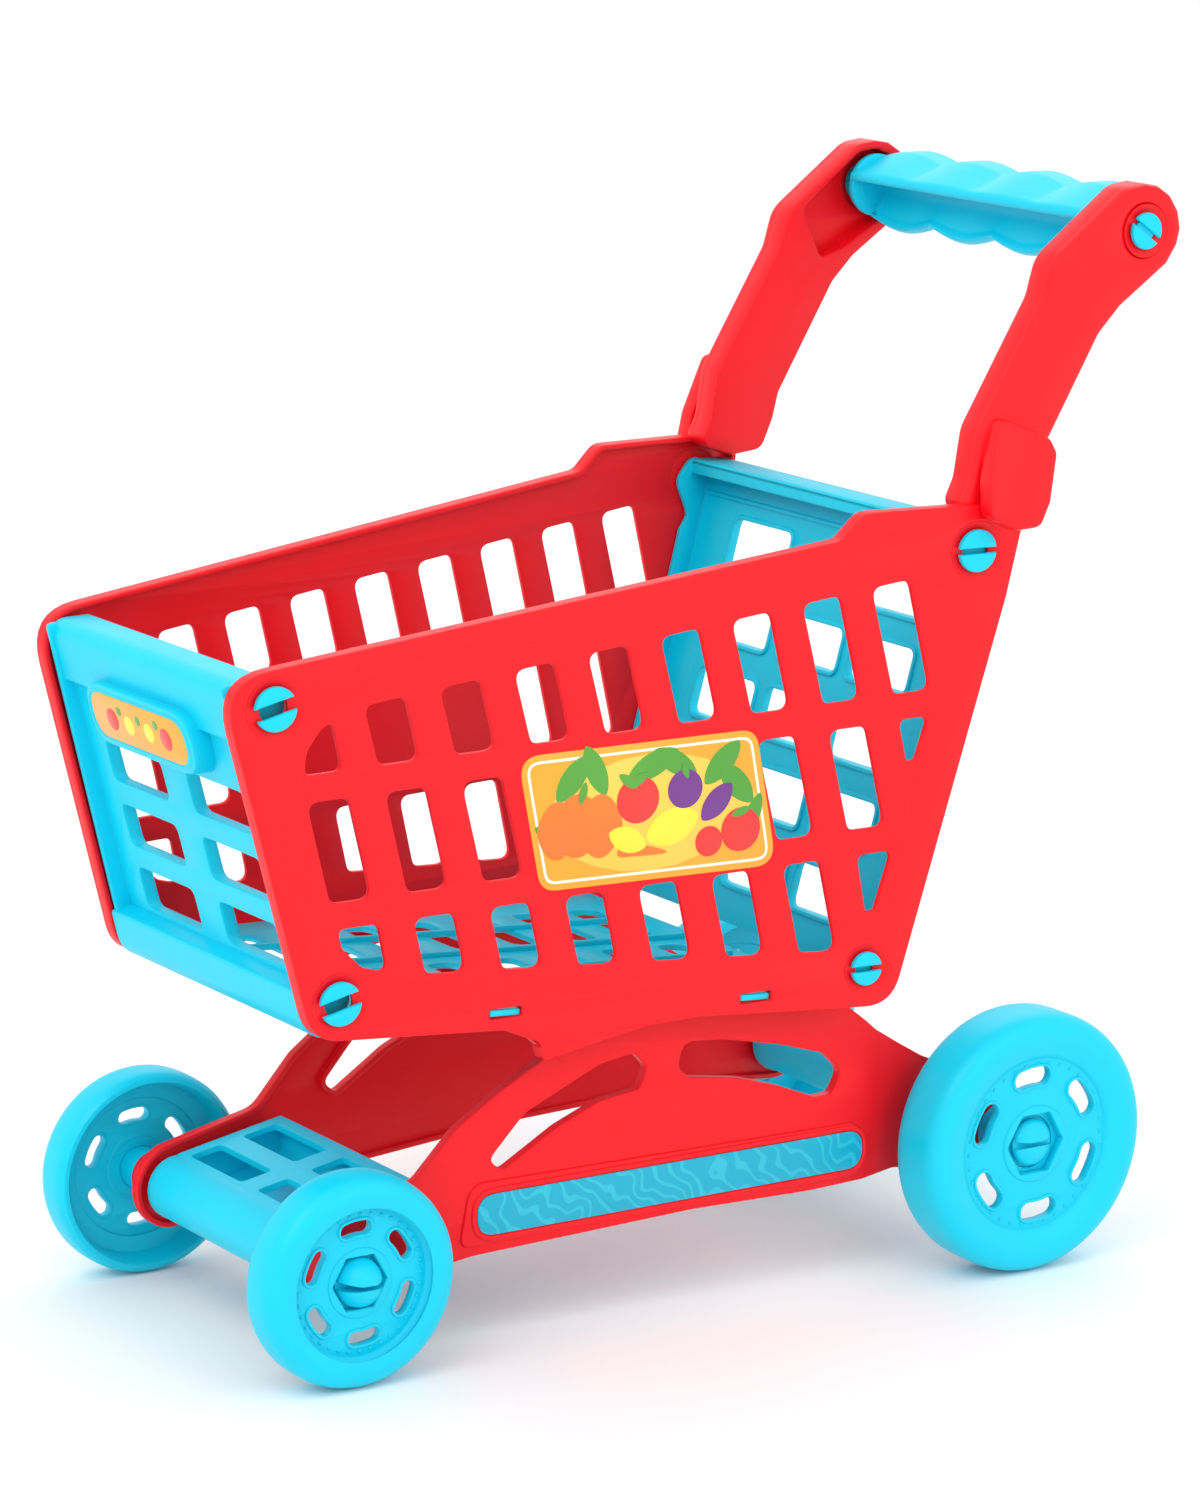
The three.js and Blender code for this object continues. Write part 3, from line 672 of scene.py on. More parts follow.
        def flat(points: np.ndarray) -> np.ndarray:
            """Puts heights on the arm's outer face."""
            return upright_x(points) + np.array([self.arm_outer, 0, 0])
        self.dish(shell, self.grip, self.grip_hole, flat)
        name = f"side_panel_{self.side.word}"
        return shell.finish(f"{name}_wall", RED, "body", [name], self.side)

    @staticmethod
    def dish(shell: Shell, centre: tuple[float, float], radius: float, place: Place) -> None:
        """Adds the shallow conical recess round a stud hole as a turned ring."""
        profile = np.array([(radius + 2.75, 0.02), (radius + 0.4, -1.2), (radius - 2.6, -1.25),
                            (radius - 2.6, -2.25), (radius + 2.75, -2.25)])
        angle = np.linspace(0, 2 * math.pi, 40, endpoint=False)[:, None]
        y = centre[0] + profile[None, :, 0] * np.cos(angle)
        z = centre[1] + profile[None, :, 0] * np.sin(angle)
        height = np.broadcast_to(profile[None, :, 1], y.shape)
        points = np.stack([y, z, height], 2)
        placed = place(points.reshape(-1, 3)).reshape(points.shape)
        shell.grid(placed, (True, True))


@dataclass
class FrontPanel:
    """The blue front wall with six windows, a hood, an apron and a raised pad."""

    columns: tuple[tuple[float, float], ...] = ((-49, -9), (9, 49))
    rows: tuple[tuple[float, float], ...] = ((144.5, 160), (168.5, 184), (193, 208))

    def half(self, depth: float, z: np.ndarray | float) -> np.ndarray | float:
        """Half the clear width between the side panels at a depth behind the front line."""
        y = FRONT_LINE[0] + FRONT_LINE[2] * (z - FRONT_LINE[1]) + depth
        return BASKET_HALF + TAPER * y

    def build(self) -> bpy.types.Object:
        """Builds the panel with its studs."""
        shell = Shell()
        place = leaning(FRONT_LINE)
        low, high = 136.0, 232.0
        half_low, half_high = self.half(8.5, low) - 3.0, self.half(8.5, high) - 3.0
        face = rounded([(-half_low, low, 1), (half_low, low, 1), (half_high, high, 1), (-half_high, high, 1)],
                       2)
        windows = [rounded_box(x0, x1, z0, z1, 3.4) for x0, x1 in self.columns for z0, z1 in self.rows]
        shell.plate(face, windows, 8.5, 10.9, 0.5, place)
        for window in windows:
            shell.plate(inset(window, -2.2), [inset(window, 0.05)], 9.2, 14, 0.6, place)
        self.sweep(shell)
        pad = rounded_box(-38, 36, 211, 234, 11.2, 8)
        shell.plate(pad, [], 0.25, 9.5, 1.6, place)
        shell.plate(inset(pad, 2.2), [inset(pad, 3.1)], 0.0, 0.9, 0.3, place)
        self.flanges(shell)
        for pin in (FRONT_TOP_PIN, FRONT_LOW_PIN):
            one = Shell()
            SnapHead(*pin, 7.8, wedge=0.16, turn=math.radians(14)).onto(one, on_panel, -0.9, 1.2)
            shell.both_sides(one)
        return shell.finish("front_panel_wall", BLUE, "body", ["front_panel"])

    def sweep(self, shell: Shell) -> None:
        """Adds the hood and the apron, each a closed section carried from side to side.

        A section is a band of constant wall along rounded corners; its ends follow the leaning side panels.

        Args:
            shell: the shell that takes them.
        """
        hood = rounded([(22, 250.4, 0), (22, 248, 0), (7.2, 248, 6.5), (7.2, 230.6, 0.8), (11, 230.6, 0.5),
                        (11, 227.5, 0.5), (4.9, 228.4, 1.2), (4.9, 250.4, 9)][::-1], 7)
        apron = rounded([(20, 122.7, 0), (20, 125, 0), (3.2, 125, 6.5), (3.2, 138.2, 1), (11, 139.6, 0.5),
                         (11, 142, 0.5), (8.3, 142.6, 1), (0.9, 140.6, 2), (0.9, 122.7, 9)], 7)
        for section in (hood, apron):
            y = FRONT_LINE[0] + FRONT_LINE[2] * (section[:, 1] - FRONT_LINE[1]) + section[:, 0]
            half = BASKET_HALF + TAPER * y - RIM - 0.4
            ends = [np.stack([sign * half, y, section[:, 1]], 1) for sign in (-1, 1)]
            shell.grid(np.array(ends), (False, True), caps=True)

    def flanges(self, shell: Shell) -> None:
        """Adds the side flanges that carry the studs, just inside the side panels."""
        body = rounded([(-44.5, 249, 2), (-12.5, 127, 3), (-2, 126, 8), (6, 136, 8), (-1.5, 146, 6),
                        (-26, 231, 8), (-19, 241, 8), (-26, 250, 6)], 6)
        shell.both_sides(Shell().plate(body, [], -RIM - WALL - 0.3, -RIM - 0.3, 0.5, on_panel))


@dataclass
class RearGate:
    """The blue rear wall: five rows of windows under a folded top edge."""

    columns: tuple[tuple[float, float], ...] = ((-62.5, -25.5), (-18.5, 19), (25.5, 62.5))
    rows: tuple[tuple[float, float], ...] = (
        (243, 261), (216.5, 232.5), (187.4, 205), (159.2, 176.4), (132, 148.5))

    def build(self) -> bpy.types.Object:
        """Builds the gate with its studs."""
        shell = Shell()
        place = leaning(PIN_LINE)

        def half(z: float, depth: float = 8.0) -> float:
            """Half the gate's width at a height."""
            return BASKET_HALF + TAPER * (PIN_LINE[0] + PIN_LINE[2] * (z - PIN_LINE[1]) + depth) - 3.0
        low, high = 118, 280.5
        face = rounded([(-half(low), low, 1), (half(low), low, 1), (half(high), high, 1),
                        (-half(high), high, 1)], 2)
        windows = []
        for row, (z0, z1) in enumerate(self.rows):
            for column, (x0, x1) in enumerate(self.columns):
                if (row, column) != (0, 1):
                    windows.append(rounded_box(x0, x1, z0, z1, 3.4))
        shell.plate(face, windows, 8, 10.3, 0.5, place)
        for window in windows:
            shell.plate(inset(window, -1.6), [inset(window, 0.05)], 7.0, 10.8, 0.5, place)
        top = half(278) - 2
        shell.plate(rounded_box(-top, top, 278.6, 281, 0.6, 2), [], -2, 10.3, 0.6, place)
        shell.plate(rounded_box(-top, top, 275.5, 280.6, 0.6, 2), [], -2, 0.3, 0.6, place)
        shell.plate(rounded_box(-top, top, 266.9, 268.5, 0.4, 2), [], 7.2, 8.4, 0.35, place)
        body = rounded([(207, 119, 2), (216, 119, 1), (258, 272, 1), (259.5, 279, 4), (249, 282, 6),
                        (241.5, 273, 6), (247.5, 259, 4), (243.8, 254, 2), (212, 135, 8), (200.5, 124, 6)], 6)
        one = Shell().plate(body, [], -2 * WALL - 0.3, -WALL - 0.3, 0.5, on_panel)
        for pin, radius in ((REAR_TOP_PIN, 7.8), (REAR_LOW_PIN, 6.2)):
            SnapHead(*pin, radius).onto(one, on_panel, -0.9, 1.2)
        shell.both_sides(one)
        return shell.finish("rear_gate_wall", BLUE, "body", ["rear_gate"])


@dataclass
class Floor:
    """The blue basket floor, a slotted plate that falls slightly to the rear."""

    start: float = 8.0
    end: float = 198.0
    ribs: tuple[float, ...] = (-30, 0, 30)

    def build(self) -> bpy.types.Object:
        """Builds the floor with its ribs and side tabs."""
        shell = Shell()
        y0, z0, fall = FLOOR_LINE

        def place(points: np.ndarray) -> np.ndarray:
            """Lays the drawn points on the falling floor."""
            x, y, height = points.T
            return np.stack([x, y, z0 + fall * (y - y0) + height], 1)
        start, end = self.start, self.end
        near, far = BASKET_HALF + TAPER * start - RIM - 0.6, BASKET_HALF + TAPER * end - RIM - 0.6
        edge = rounded([(-near, start, 2), (near, start, 2), (far, end, 2), (-far, end, 2)], 3)
        slots = []
        for y in range(20, 171, 25):
            for x0 in (-52, 8):
                slots.append(rounded_box(x0, x0 + 44, y, y + 12, 5))
        shell.plate(edge, slots, -1.15, 1.15, 0.5, place)
        for x in self.ribs:
            shell.plate(rounded_box(x - 1, x + 1, 12, 190, 0.8, 2), [], 0.6, 3.1, 0.4, place)
        for y in FLOOR_TABS:
            face = BASKET_HALF + TAPER * y
            tab = rounded_box(face - 9, face - 0.4, y + 0.3, y + TAB_LENGTH - 0.3, 0.6, 2)
            shell.both_sides(Shell().plate(tab, [], -1.15, 1.15, 0.35, place))
        return shell.finish("basket_floor_tray", BLUE, "body", ["basket_floor"])


@dataclass
class Grip:
    """The blue push grip: a rounded channel between the arms.

    Its upper and lower edges rise and fall as the absolute value of a sine along the grip.
    """

    centre: tuple[float, float] = GRIP_PIN
    half: float = 75.2
    waves: int = 4
    depth: float = 3.6

    def build(self) -> bpy.types.Object:
        """Builds the grip with its end studs."""
        shell = Shell()
        section = rounded([(326, 370.5, 3), (334.5, 373.5, 5), (340.5, 390, 5), (338.5, 395, 2),
                           (328, 395, 7), (312.8, 389.5, 3), (312.8, 386, 1.2), (325, 389, 4),
                           (330.5, 382, 6), (325, 374.5, 3), (322, 372.5, 1)], 5)
        stations = np.linspace(-self.half, self.half, 161)
        bump = np.abs(np.sin(stations / self.half * math.pi * self.waves / 2))[:, None]
        upper = np.clip((section[:, 1] - 389) / 7, 0, 1)[None, :]
        lower = np.clip((379 - section[:, 1]) / 6, 0, 1)[None, :]
        z = section[None, :, 1] + self.depth * bump * (upper - lower)
        y = np.broadcast_to(section[None, :, 0], z.shape)
        x = np.broadcast_to(stations[:, None], z.shape)
        shell.grid(np.stack([x, y, z], 2), (False, True), caps=True)
        one = Shell()
        end_plates = ((inset(section, 0.2), self.half - 3), (ring(self.centre, 12, 40), self.half - 1))
        for outline, low in end_plates:
            one.plate(outline, [], low, low + 2.6, 0.4, upright_x)
        stud = [(0.05, 74), (7.5, 74), (7.5, 85.2), (4.2, 85.3), (4.2, 88), (0.05, 88)]
        one.lathe(stud, self.centre, 32)
        SnapHead(*self.centre, 6.7, turn=math.radians(-35)).onto(one, upright_x, 87.6, 89.7)
        shell.both_sides(one)
        return shell.finish("handle_grip_bar", BLUE, "body", ["handle_grip"])


@dataclass
class ChassisFrame:
    """One red lower frame that carries both axles, with its printed inlay."""

    side: Side
    front: tuple[float, float] = FRONT_AXLE
    rear: tuple[float, float] = REAR_AXLE
    end: float = 16.0

    def edge(self) -> np.ndarray:
        """The frame's outline: arcs round both axles joined by the upper and lower edges."""
        def arc(centre: tuple[float, float], start: float, stop: float) -> np.ndarray:
            """The round end about an axle, between two angles in degrees."""
            angle = np.radians(np.linspace(start, stop, 19))
            return np.stack([centre[0] + self.end * np.cos(angle), centre[1] + self.end * np.sin(angle)], 1)
        lower = rounded([(0, 22.3, 0), (60, 31.5, 40), (150, 36, 60), (200, 36, 60), (238, 38.2, 20),
                         (276, 33.9, 0)])[1:-1]
        upper = rounded([(289, 63, 0), (250.5, 79.7, 18), (228, 93.3, 12), (212, 106, 12), (196, 114.6, 3),
                         (102, 120.6, 3), (97, 107, 10), (86.5, 100, 8), (70.5, 91.1, 16), (52.6, 79.1, 12),
                         (36, 61.4, 12), (0, 54.3, 0)])[1:-1]
        return np.concatenate([arc(self.front, 98, 270), lower, arc(self.rear, 262, 420), upper])

    def windows(self) -> list[np.ndarray]:
        """The two arched openings."""
        return [rounded(corners) for corners in (
            [(66, 66, 3), (71.5, 61.5, 3), (93.7, 74.8, 16), (110.6, 82, 14), (127, 84.5, 3), (130, 92, 4),
             (124.6, 98, 4), (110.4, 95.5, 18), (80.4, 81.6, 18)],
            [(142.5, 90, 5), (147.4, 86.1, 4), (168.5, 83, 18), (185.4, 77.8, 18), (201, 71.5, 4),
             (208, 72, 4), (212, 80.1, 5), (204.5, 87.7, 8), (185.1, 93.5, 18), (161.9, 98.3, 18),
             (145, 99.6, 5)])]

    def build(self) -> list[bpy.types.Object]:
        """Builds the frame and the inlay."""
        edge = self.edge()
        drawn = Shell()

        def keep(points: np.ndarray) -> np.ndarray:
            """Puts the height first and leaves the outline flat, ready to be split along y."""
            return np.stack([points[:, 2], points[:, 0], points[:, 1]], 1)
        bores = [ring(self.front, 5), ring(self.rear, 5)]
        drawn.plate(edge, self.windows() + bores, -WALL, 0, 0.6, keep)
        drawn.plate(inset(edge, 0.03), [inset(edge, WALL)], -4.4, -0.6, 0.7, keep)
        for window in self.windows():
            drawn.plate(inset(window, -WALL), [inset(window, -0.02)], -4.4, -0.3, 0.6, keep)
        pad = rounded([(54, 35, 4), (150, 39, 30), (200, 39, 30), (221, 40, 3), (219, 60, 4),
                       (58, 58.5, 8)], 6)
        inlay = rounded([(60.5, 38.4, 7.8), (221, 42.4, 7.8), (221, 57.4, 7.8), (60.5, 54.2, 7.8)], 8)
        pad_edge = inset(inlay, -2.0)
        drawn.plate(pad, [], -1, 1.0, 0.8, keep)
        drawn.plate(pad_edge, [inlay], 0, 1.7, 0.5, keep)
        split = drawn.split_at(np.linspace(STEP_START, STEP_START + STEP_LENGTH, 4))
        shell = split.moved(lambda points: on_frame(points[:, [1, 2, 0]]))
        shell.lathe([(4.4, 51), (9, 51), (9, 65.7), (4.4, 65.7)], self.front, 40)
        rear_face = FRAME_HALF + TAPER * self.rear[0] - STEP_DEPTH
        shell.lathe([(4.4, rear_face - 2), (10, rear_face - 2), (10, 77.4), (4.4, 77.4)], self.rear, 40)
        name = f"chassis_frame_{self.side.word}"
        frame = shell.finish(f"{name}_moulding", RED, "body", [name], self.side)
        strip = Shell()
        strip.plate(inset(inlay, 0.3), [], 0.9, 1.5, 0.2, on_frame)
        name = f"frame_inlay_{self.side.word}"
        return [frame, strip.finish(f"{name}_strip", INLAY, "body", [name], self.side)]


@dataclass
class Wheel:
    """A moulded wheel: smooth tread, dished face, six curved slots with lips and a hexagonal hub recess."""

    name: str
    side: Side
    centre: tuple[float, float]
    radius: float
    inner: float
    outer: float
    face: float
    crease: float
    slot_in: float
    slot_out: float
    hub: float

    def bean(self, degrees: float, grow: float) -> np.ndarray:
        """A curved slot with round ends, grown by a distance."""
        middle = (self.slot_in + self.slot_out) / 2
        half = (self.slot_out - self.slot_in) / 2 + grow
        sweep = math.radians(18) - (half - grow) / middle
        start, end = math.radians(degrees) - sweep, math.radians(degrees) + sweep
        along = np.linspace(start, end, 11)
        turn = np.linspace(0, math.pi, 9)[1:-1]
        outer = np.stack([(middle + half) * np.cos(along), (middle + half) * np.sin(along)], 1)
        inner = np.stack([(middle - half) * np.cos(along[::-1]), (middle - half) * np.sin(along[::-1])], 1)
        tip = middle * np.array([math.cos(end), math.sin(end)])
        tail = middle * np.array([math.cos(start), math.sin(start)])
        cap = tip + half * np.stack([np.cos(end + turn), np.sin(end + turn)], 1)
        back = tail + half * np.stack([np.cos(start + math.pi + turn), np.sin(start + math.pi + turn)], 1)
        return np.concatenate([outer, cap, inner, back]) + np.array(self.centre)

    def build(self) -> bpy.types.Object:
        """Builds the wheel."""
        shell = Shell()
        face, radius = self.face, self.radius
        inner, outer, crease = self.inner, self.outer, self.crease
        tread = [
            (crease + 0.5, face - 4), (radius - 6, face - 4.5), (radius - 5, inner + 2),
            (radius - 3.8, inner + 0.3), (radius - 2.2, inner + 0.5), (radius - 0.8, inner + 1.8),
            (radius - 0.15, inner + 4), (radius, inner + 7), (radius, outer - 8),
            (radius - 0.25, outer - 5.6), (radius - 1.1, outer - 3.2), (radius - 2.6, outer - 1.4),
            (radius - 4.8, outer - 0.35),
            (radius - 7.5, outer), (radius - 11, outer - 0.6), (crease + 1.5, face + 1.5),
            (crease + 0.2, face + 0.8), (crease - 0.6, face - 0.4), (crease - 0.6, face - 4)]
        shell.lathe(tread, self.centre, 128)
        angles = (155, 95, 35, -25, -85, -145)
        disc = ring(self.centre, self.crease, 128)
        hexagon = ring(self.centre, self.hub, 6)
        slots = [self.bean(angle, 0) for angle in angles]
        shell.plate(disc, slots + [hexagon], face - 3, face, 0.35, upright_x)
        for angle in angles:
            lip, opening = self.bean(angle, 1.1), self.bean(angle, -0.05)
            shell.plate(lip, [opening], face - 3.2, face + 0.7, 0.35, upright_x)
        hub, collar = self.hub, ring(self.centre, self.hub + 1.6, 72)
        shell.plate(collar, [inset(hexagon, 0.02)], face - 3.2, face + 0.5, 0.35, upright_x)
        shell.lathe([(4.5, inner), (hub - 3, inner), (hub - 3, face - 3), (hub + 0.4, face - 3.2),
                     (hub + 0.4, face - 4), (4.5, face - 4)], self.centre, 48)
        self.dots(shell)
        name = f"{self.name}_{self.side.word}"
        return shell.finish(f"{name}_moulding", BLUE, name, [name], self.side)

    def dots(self, shell: Shell) -> None:
        """Adds the ring of small domes just inside the crease, each a low turned bump."""
        count = 36
        reach = self.crease - 2.4
        face = self.face
        dome = [(0.02, face - 0.3), (0.75, face - 0.3), (0.7, face + 0.25), (0.4, face + 0.5),
                (0.02, face + 0.55)]
        for angle in np.linspace(0, 2 * math.pi, count, endpoint=False):
            spot = (self.centre[0] + reach * math.cos(angle), self.centre[1] + reach * math.sin(angle))
            shell.lathe(dome, spot, 8)


@dataclass
class Axle:
    """A plastic axle with a split snap head at each end."""

    name: str
    centre: tuple[float, float]
    seat: float
    reach: float
    head: float = 9.0

    def build(self) -> bpy.types.Object:
        """Builds the axle."""
        shell = Shell()
        shell.lathe([(0.05, -self.seat), (4, -self.seat), (4, self.seat), (0.05, self.seat)], self.centre, 32)
        one = Shell()
        one.lathe([(0.05, self.seat - 1), (self.head - 0.6, self.seat - 1),
                   (self.head - 0.2, self.seat + 0.6), (0.05, self.seat + 0.6)], self.centre, 40)
        for half in (0, math.pi):
            self.half_dome(one, half)
        shell.both_sides(one)
        return shell.finish(f"{self.name}_bar", BLUE, "body", [self.name])

    def half_dome(self, shell: Shell, half: float) -> None:
        """Adds one half of the head: a low dome over a half disc, rising as the cosine of its radius.

        Args:
            shell: the shell that takes it.
            half: the angle of its flat side.
        """
        angle = np.linspace(half + 0.13, half + math.pi - 0.13, 24)
        levels = np.linspace(0, 1, 7)[:, None]
        radius = (self.head - 0.4) * np.cos(levels * 1.25)
        rise = (self.reach - self.seat - 0.2) * np.sin(levels * 1.25) / math.sin(1.25)
        shift = np.array([-math.sin(half), math.cos(half)]) * 0.4
        y = self.centre[0] + shift[0] + radius * np.cos(angle)[None, :]
        z = self.centre[1] + shift[1] + radius * np.sin(angle)[None, :]
        x = np.broadcast_to(self.seat + 0.2 + rise, y.shape)
        shell.grid(np.stack([x, y, z], 2), (False, True), caps=True)


@dataclass
class CadCopy:
    """A part whose CAD shape is kept: a merged copy; its material softens the edges in the light."""

    node: str
    body: str = "body"

    def build(self) -> bpy.types.Object:
        """Builds the copy."""
        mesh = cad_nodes()[self.node].data.copy()
        mesh.name = f"{self.node}_moulding"
        work = bmesh.new()
        work.from_mesh(mesh)
        bmesh.ops.remove_doubles(work, verts=work.verts, dist=1e-6)
        bmesh.ops.dissolve_limit(work, angle_limit=math.radians(1.5), verts=work.verts, edges=work.edges)
        work.to_mesh(mesh)
        work.free()
        mesh.shade_smooth()
        mesh.set_sharp_from_angle(angle=math.radians(34))
        mesh.materials.clear()
        mesh.materials.append(PALETTE.of(BLUE))
        piece = bpy.data.objects.new(f"{self.node}_moulding", mesh)
        bpy.context.scene.collection.objects.link(piece)
        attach(piece, self.body)
        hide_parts(self.node)
        LOG.info("%s: copied from the CAD", piece.name)
        return piece


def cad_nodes() -> dict[str, bpy.types.Object]:
    """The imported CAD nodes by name."""
    return FRAME["nodes"]


@dataclass
class Sticker:
    """A side sticker with a generic picture of fruit and vegetables."""

    side: Side
    corners: tuple[Corner, ...] = ((73.6, 166.6, 8), (169.5, 166.1, 8), (160, 217, 8), (63.9, 216, 8))

    def ink(self, name: str, finish: object, outlines: list[np.ndarray], level: int) -> bpy.types.Object:
        """Adds one printed colour as thin plates on the film.

        Args:
            name: what is drawn.
            finish: its ink.
            outlines: the shapes.
            level: printing order, higher lies over lower.

        Returns:
            The object.
        """
        shell = Shell()
        low = 0.10 + 0.03 * level
        for step, outline in enumerate(outlines):
            rise = 0.003 * step
            shell.plate(outline, [], low - 0.03 + rise, low + 0.03 + rise, 0.01, on_panel)
        return shell.finish(f"sticker_{self.side.word}_{name}", finish, "body", [], self.side)

    def build(self) -> list[bpy.types.Object]:
        """Builds the film and its picture."""
        film = Shell()
        edge = rounded(self.corners, 8)
        film.plate(inset(edge, 0.3), [], -0.4, 0.1, 0.1, on_panel)
        name = f"sticker_{self.side.word}"
        pieces = [film.finish(f"{name}_film", ORANGE_FILM, "body", [name], self.side)]

        def leaf(y: float, z: float, length: float, width: float, turn: float) -> np.ndarray:
            """A pointed oval of a length and width, turned in radians about its middle."""
            t = np.linspace(0, math.pi, 13)
            along = np.concatenate([-np.cos(t), np.cos(t)[1:-1]]) * length / 2
            across = np.concatenate([-np.sin(t) ** 1.4, np.sin(t)[1:-1] ** 1.4]) * width / 2
            c, s = math.cos(turn), math.sin(turn)
            return np.stack([y + along * c - across * s, z + along * s + across * c], 1)
        inner = inset(edge, 2.6)
        border = Shell()
        border.plate(inner, [inset(inner, 1.0)], 0.08, 0.14, 0.01, on_panel)
        pieces.append(border.finish(f"{name}_border", CREAM_INK, "body", [], self.side))
        pieces.append(self.ink("plate", YELLOW_INK, [leaf(117, 191, 88, 42, 0)], 1))
        pieces.append(self.ink("leaves", LEAF_INK, [
            leaf(86, 206, 20, 9, 0.9), leaf(95, 208, 20, 8, 2.0), leaf(118, 208, 22, 9, 0.4),
            leaf(127, 208, 20, 8, 2.6), leaf(146, 206, 20, 9, 0.8), leaf(152, 198, 20, 9, 2.3),
            leaf(78, 186, 16, 6, 2.6), leaf(159, 186, 16, 6, 1.2)], 2))
        pieces.append(self.ink("pumpkin", CARROT_INK, [
            leaf(88, 189, 20, 23, 0), leaf(97, 188, 18, 23, 0), leaf(80, 188, 16, 21, 0),
            rounded([(103, 176, 2), (106, 182, 2), (130, 175, 1.5)], 4)], 3))
        pieces.append(self.ink("tomato", TOMATO_INK, [
            ring((154, 181), 8), ring((141, 178), 5.5), ring((112, 196), 8.5)], 4))
        lemons = [leaf(126, 185, 22, 13, 0.3), leaf(108, 182, 16, 9, -0.4)]
        pieces.append(self.ink("lemon", LEMON_INK, lemons, 5))
        pieces.append(self.ink("plum", PLUM_INK, [ring((131, 198), 7), leaf(144, 192, 17, 9, 0.8)], 6))
        pieces.append(self.ink("stalks", LEAF_INK, [
            leaf(112, 203, 9, 3.6, 0.5), leaf(108, 203, 9, 3.6, 2.5), leaf(154, 187.5, 8, 3, 0.3),
            leaf(90, 200.5, 8, 3.2, 1.3), leaf(131, 204.5, 6, 2.4, 1.9)], 7))
        return pieces


@dataclass
class FrontSticker:
    """The small orange sticker on the front pad, with a row of plain shapes."""

    def build(self) -> list[bpy.types.Object]:
        """Builds the film and its picture."""
        place = leaning(FRONT_LINE)
        film = Shell()
        edge = rounded([(-33.7, 214.3, 8), (31.7, 214.3, 8), (31.7, 230.7, 8), (-33.7, 230.7, 8)], 8)
        film.plate(edge, [], 0.1, 0.55, 0.1, place)
        pieces = [film.finish("sticker_front_film", ORANGE_FILM, "body", ["sticker_front"])]
        for name, finish, shapes in (
                ("tomatoes", TOMATO_INK, [ring((-20, 222), 4), ring((18, 222), 4)]),
                ("lemons", LEMON_INK, [ring((-8, 222), 3.4), ring((6, 222), 3.4)]),
                ("leaves", LEAF_INK, [ring((-1, 225), 1.8), ring((-14, 226), 1.8), ring((12, 226), 1.8)])):
            shell = Shell()
            for shape in shapes:
                shell.plate(shape, [], 0.04, 0.12, 0.01, place)
            pieces.append(shell.finish(f"sticker_front_{name}", finish, "body"))
        return pieces


# ---------------------------------------------------------------- stage


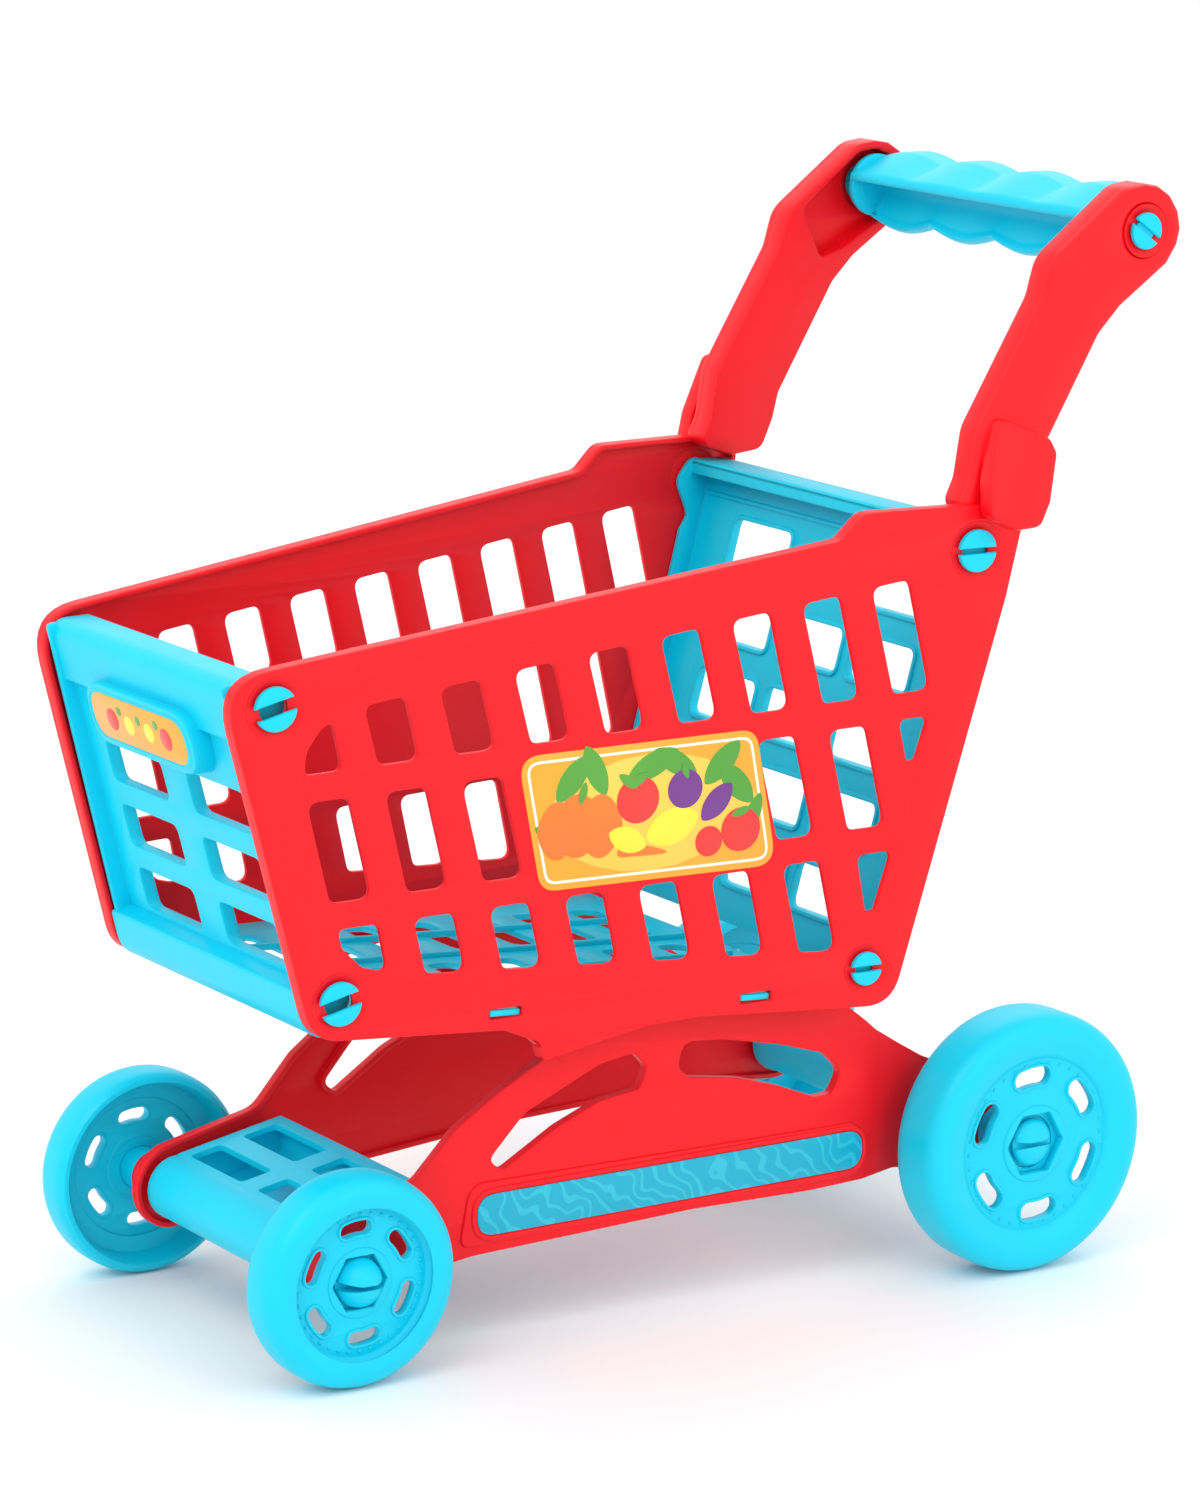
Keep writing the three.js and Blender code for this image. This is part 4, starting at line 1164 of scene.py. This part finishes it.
@dataclass
class Studio:
    """The pale floor, the soft lights and the camera."""

    position: tuple[float, float, float] = (1554.4, -892.9, 612.4)
    yaw: float = 146.136
    pitch: float = -12.608
    roll: float = 0.881
    lens: float = 157.44
    sensor: float = 36.0

    def build(self) -> None:
        """Builds the stage."""
        self.floor()
        self.lights()
        self.camera()

    def floor(self) -> None:
        """Adds the floor."""
        size = 6.0
        mesh = bpy.data.meshes.new("floor")
        corners = [(-size, -size, 0), (size, -size, 0), (size, size, 0), (-size, size, 0)]
        mesh.from_pydata(corners, [], [(0, 1, 2, 3)])
        nodes = NodeTree("floor_paper")
        nodes.colour(nodes.noise(3.0).outputs["Fac"], (0.95, 0.95, 0.95), (0.98, 0.98, 0.98))
        nodes.shader.inputs["Roughness"].default_value = 0.7
        mesh.materials.append(nodes.material)
        floor = bpy.data.objects.new("floor", mesh)
        bpy.context.scene.collection.objects.link(floor)

    def lights(self) -> None:
        """Adds the world light and the soft lamps."""
        scene = bpy.context.scene
        world = bpy.data.worlds.new("studio")
        world.use_nodes = True
        world.node_tree.nodes["Background"].inputs["Color"].default_value = (1, 1, 1, 1)
        world.node_tree.nodes["Background"].inputs["Strength"].default_value = 1.05
        scene.world = world
        scene.view_settings.view_transform = "Standard"
        lamps = (("key", (0.6, -1.2, 1.6), 9, 1.2), ("side", (1.8, 0.5, 1.0), 4, 1.4),
                 ("back", (-1.2, 1.0, 1.4), 4, 1.2))
        for name, place, energy, size in lamps:
            lamp = bpy.data.lights.new(name, "AREA")
            lamp.energy = energy
            lamp.size = size
            lit = bpy.data.objects.new(name, lamp)
            aim = np.array([0, 0, 0.2]) - np.array(place)
            back = -aim / np.linalg.norm(aim)
            right = np.cross([0, 0, 1], back)
            right /= np.linalg.norm(right)
            axes = np.eye(4)
            axes[:3, 0], axes[:3, 1], axes[:3, 2], axes[:3, 3] = right, np.cross(back, right), back, place
            lit.matrix_world = Matrix(axes.tolist())
            scene.collection.objects.link(lit)

    def camera(self) -> None:
        """Adds the camera, aimed by yaw, pitch and roll."""
        yaw, pitch, roll = (math.radians(value) for value in (self.yaw, self.pitch, self.roll))
        level_part = math.cos(pitch)
        forward = np.array([level_part * math.cos(yaw), level_part * math.sin(yaw), math.sin(pitch)])
        level = np.cross(forward, [0, 0, 1])
        level /= np.linalg.norm(level)
        above = np.cross(level, forward)
        right = math.cos(roll) * level + math.sin(roll) * above
        up = -math.sin(roll) * level + math.cos(roll) * above
        axes = np.eye(4)
        place = (np.array(self.position) - np.array([0, SHIFT_Y, 0])) * MM
        axes[:3, 0], axes[:3, 1], axes[:3, 2], axes[:3, 3] = right, up, -forward, place
        data = bpy.data.cameras.new("camera")
        data.lens = self.lens
        data.sensor_width = self.sensor
        data.sensor_fit = "HORIZONTAL"
        data.clip_end = 50
        camera = bpy.data.objects.new("camera", data)
        camera.matrix_world = Matrix(axes.tolist())
        bpy.context.scene.collection.objects.link(camera)
        bpy.context.scene.camera = camera


FRAME: dict = {}


def main() -> None:
    """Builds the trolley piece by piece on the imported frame."""
    logging.basicConfig(level=logging.INFO)
    FRAME.update(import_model())
    for side in Side:
        SidePanel(side).build()
        ChassisFrame(side).build()
        Sticker(side).build()
        Wheel("front_wheel", side, FRONT_AXLE, radius=38.3, inner=66, outer=85, face=80.5, crease=27,
              slot_in=17.5, slot_out=22.5, hub=11).build()
        Wheel("rear_wheel", side, REAR_AXLE, radius=49.4, inner=77.7, outer=102.69, face=99, crease=33,
              slot_in=22.5, slot_out=29.5, hub=13).build()
    FrontPanel().build()
    FrontSticker().build()
    RearGate().build()
    Floor().build()
    Grip().build()
    Axle("front_axle", FRONT_AXLE, seat=78.0, reach=88.0).build()
    Axle("rear_axle", REAR_AXLE, seat=96.4, reach=100.5).build()
    for node in ("front_bracket", "rear_bracket"):
        CadCopy(node).build()
    Studio().build()


if __name__ == "__main__":
    main()
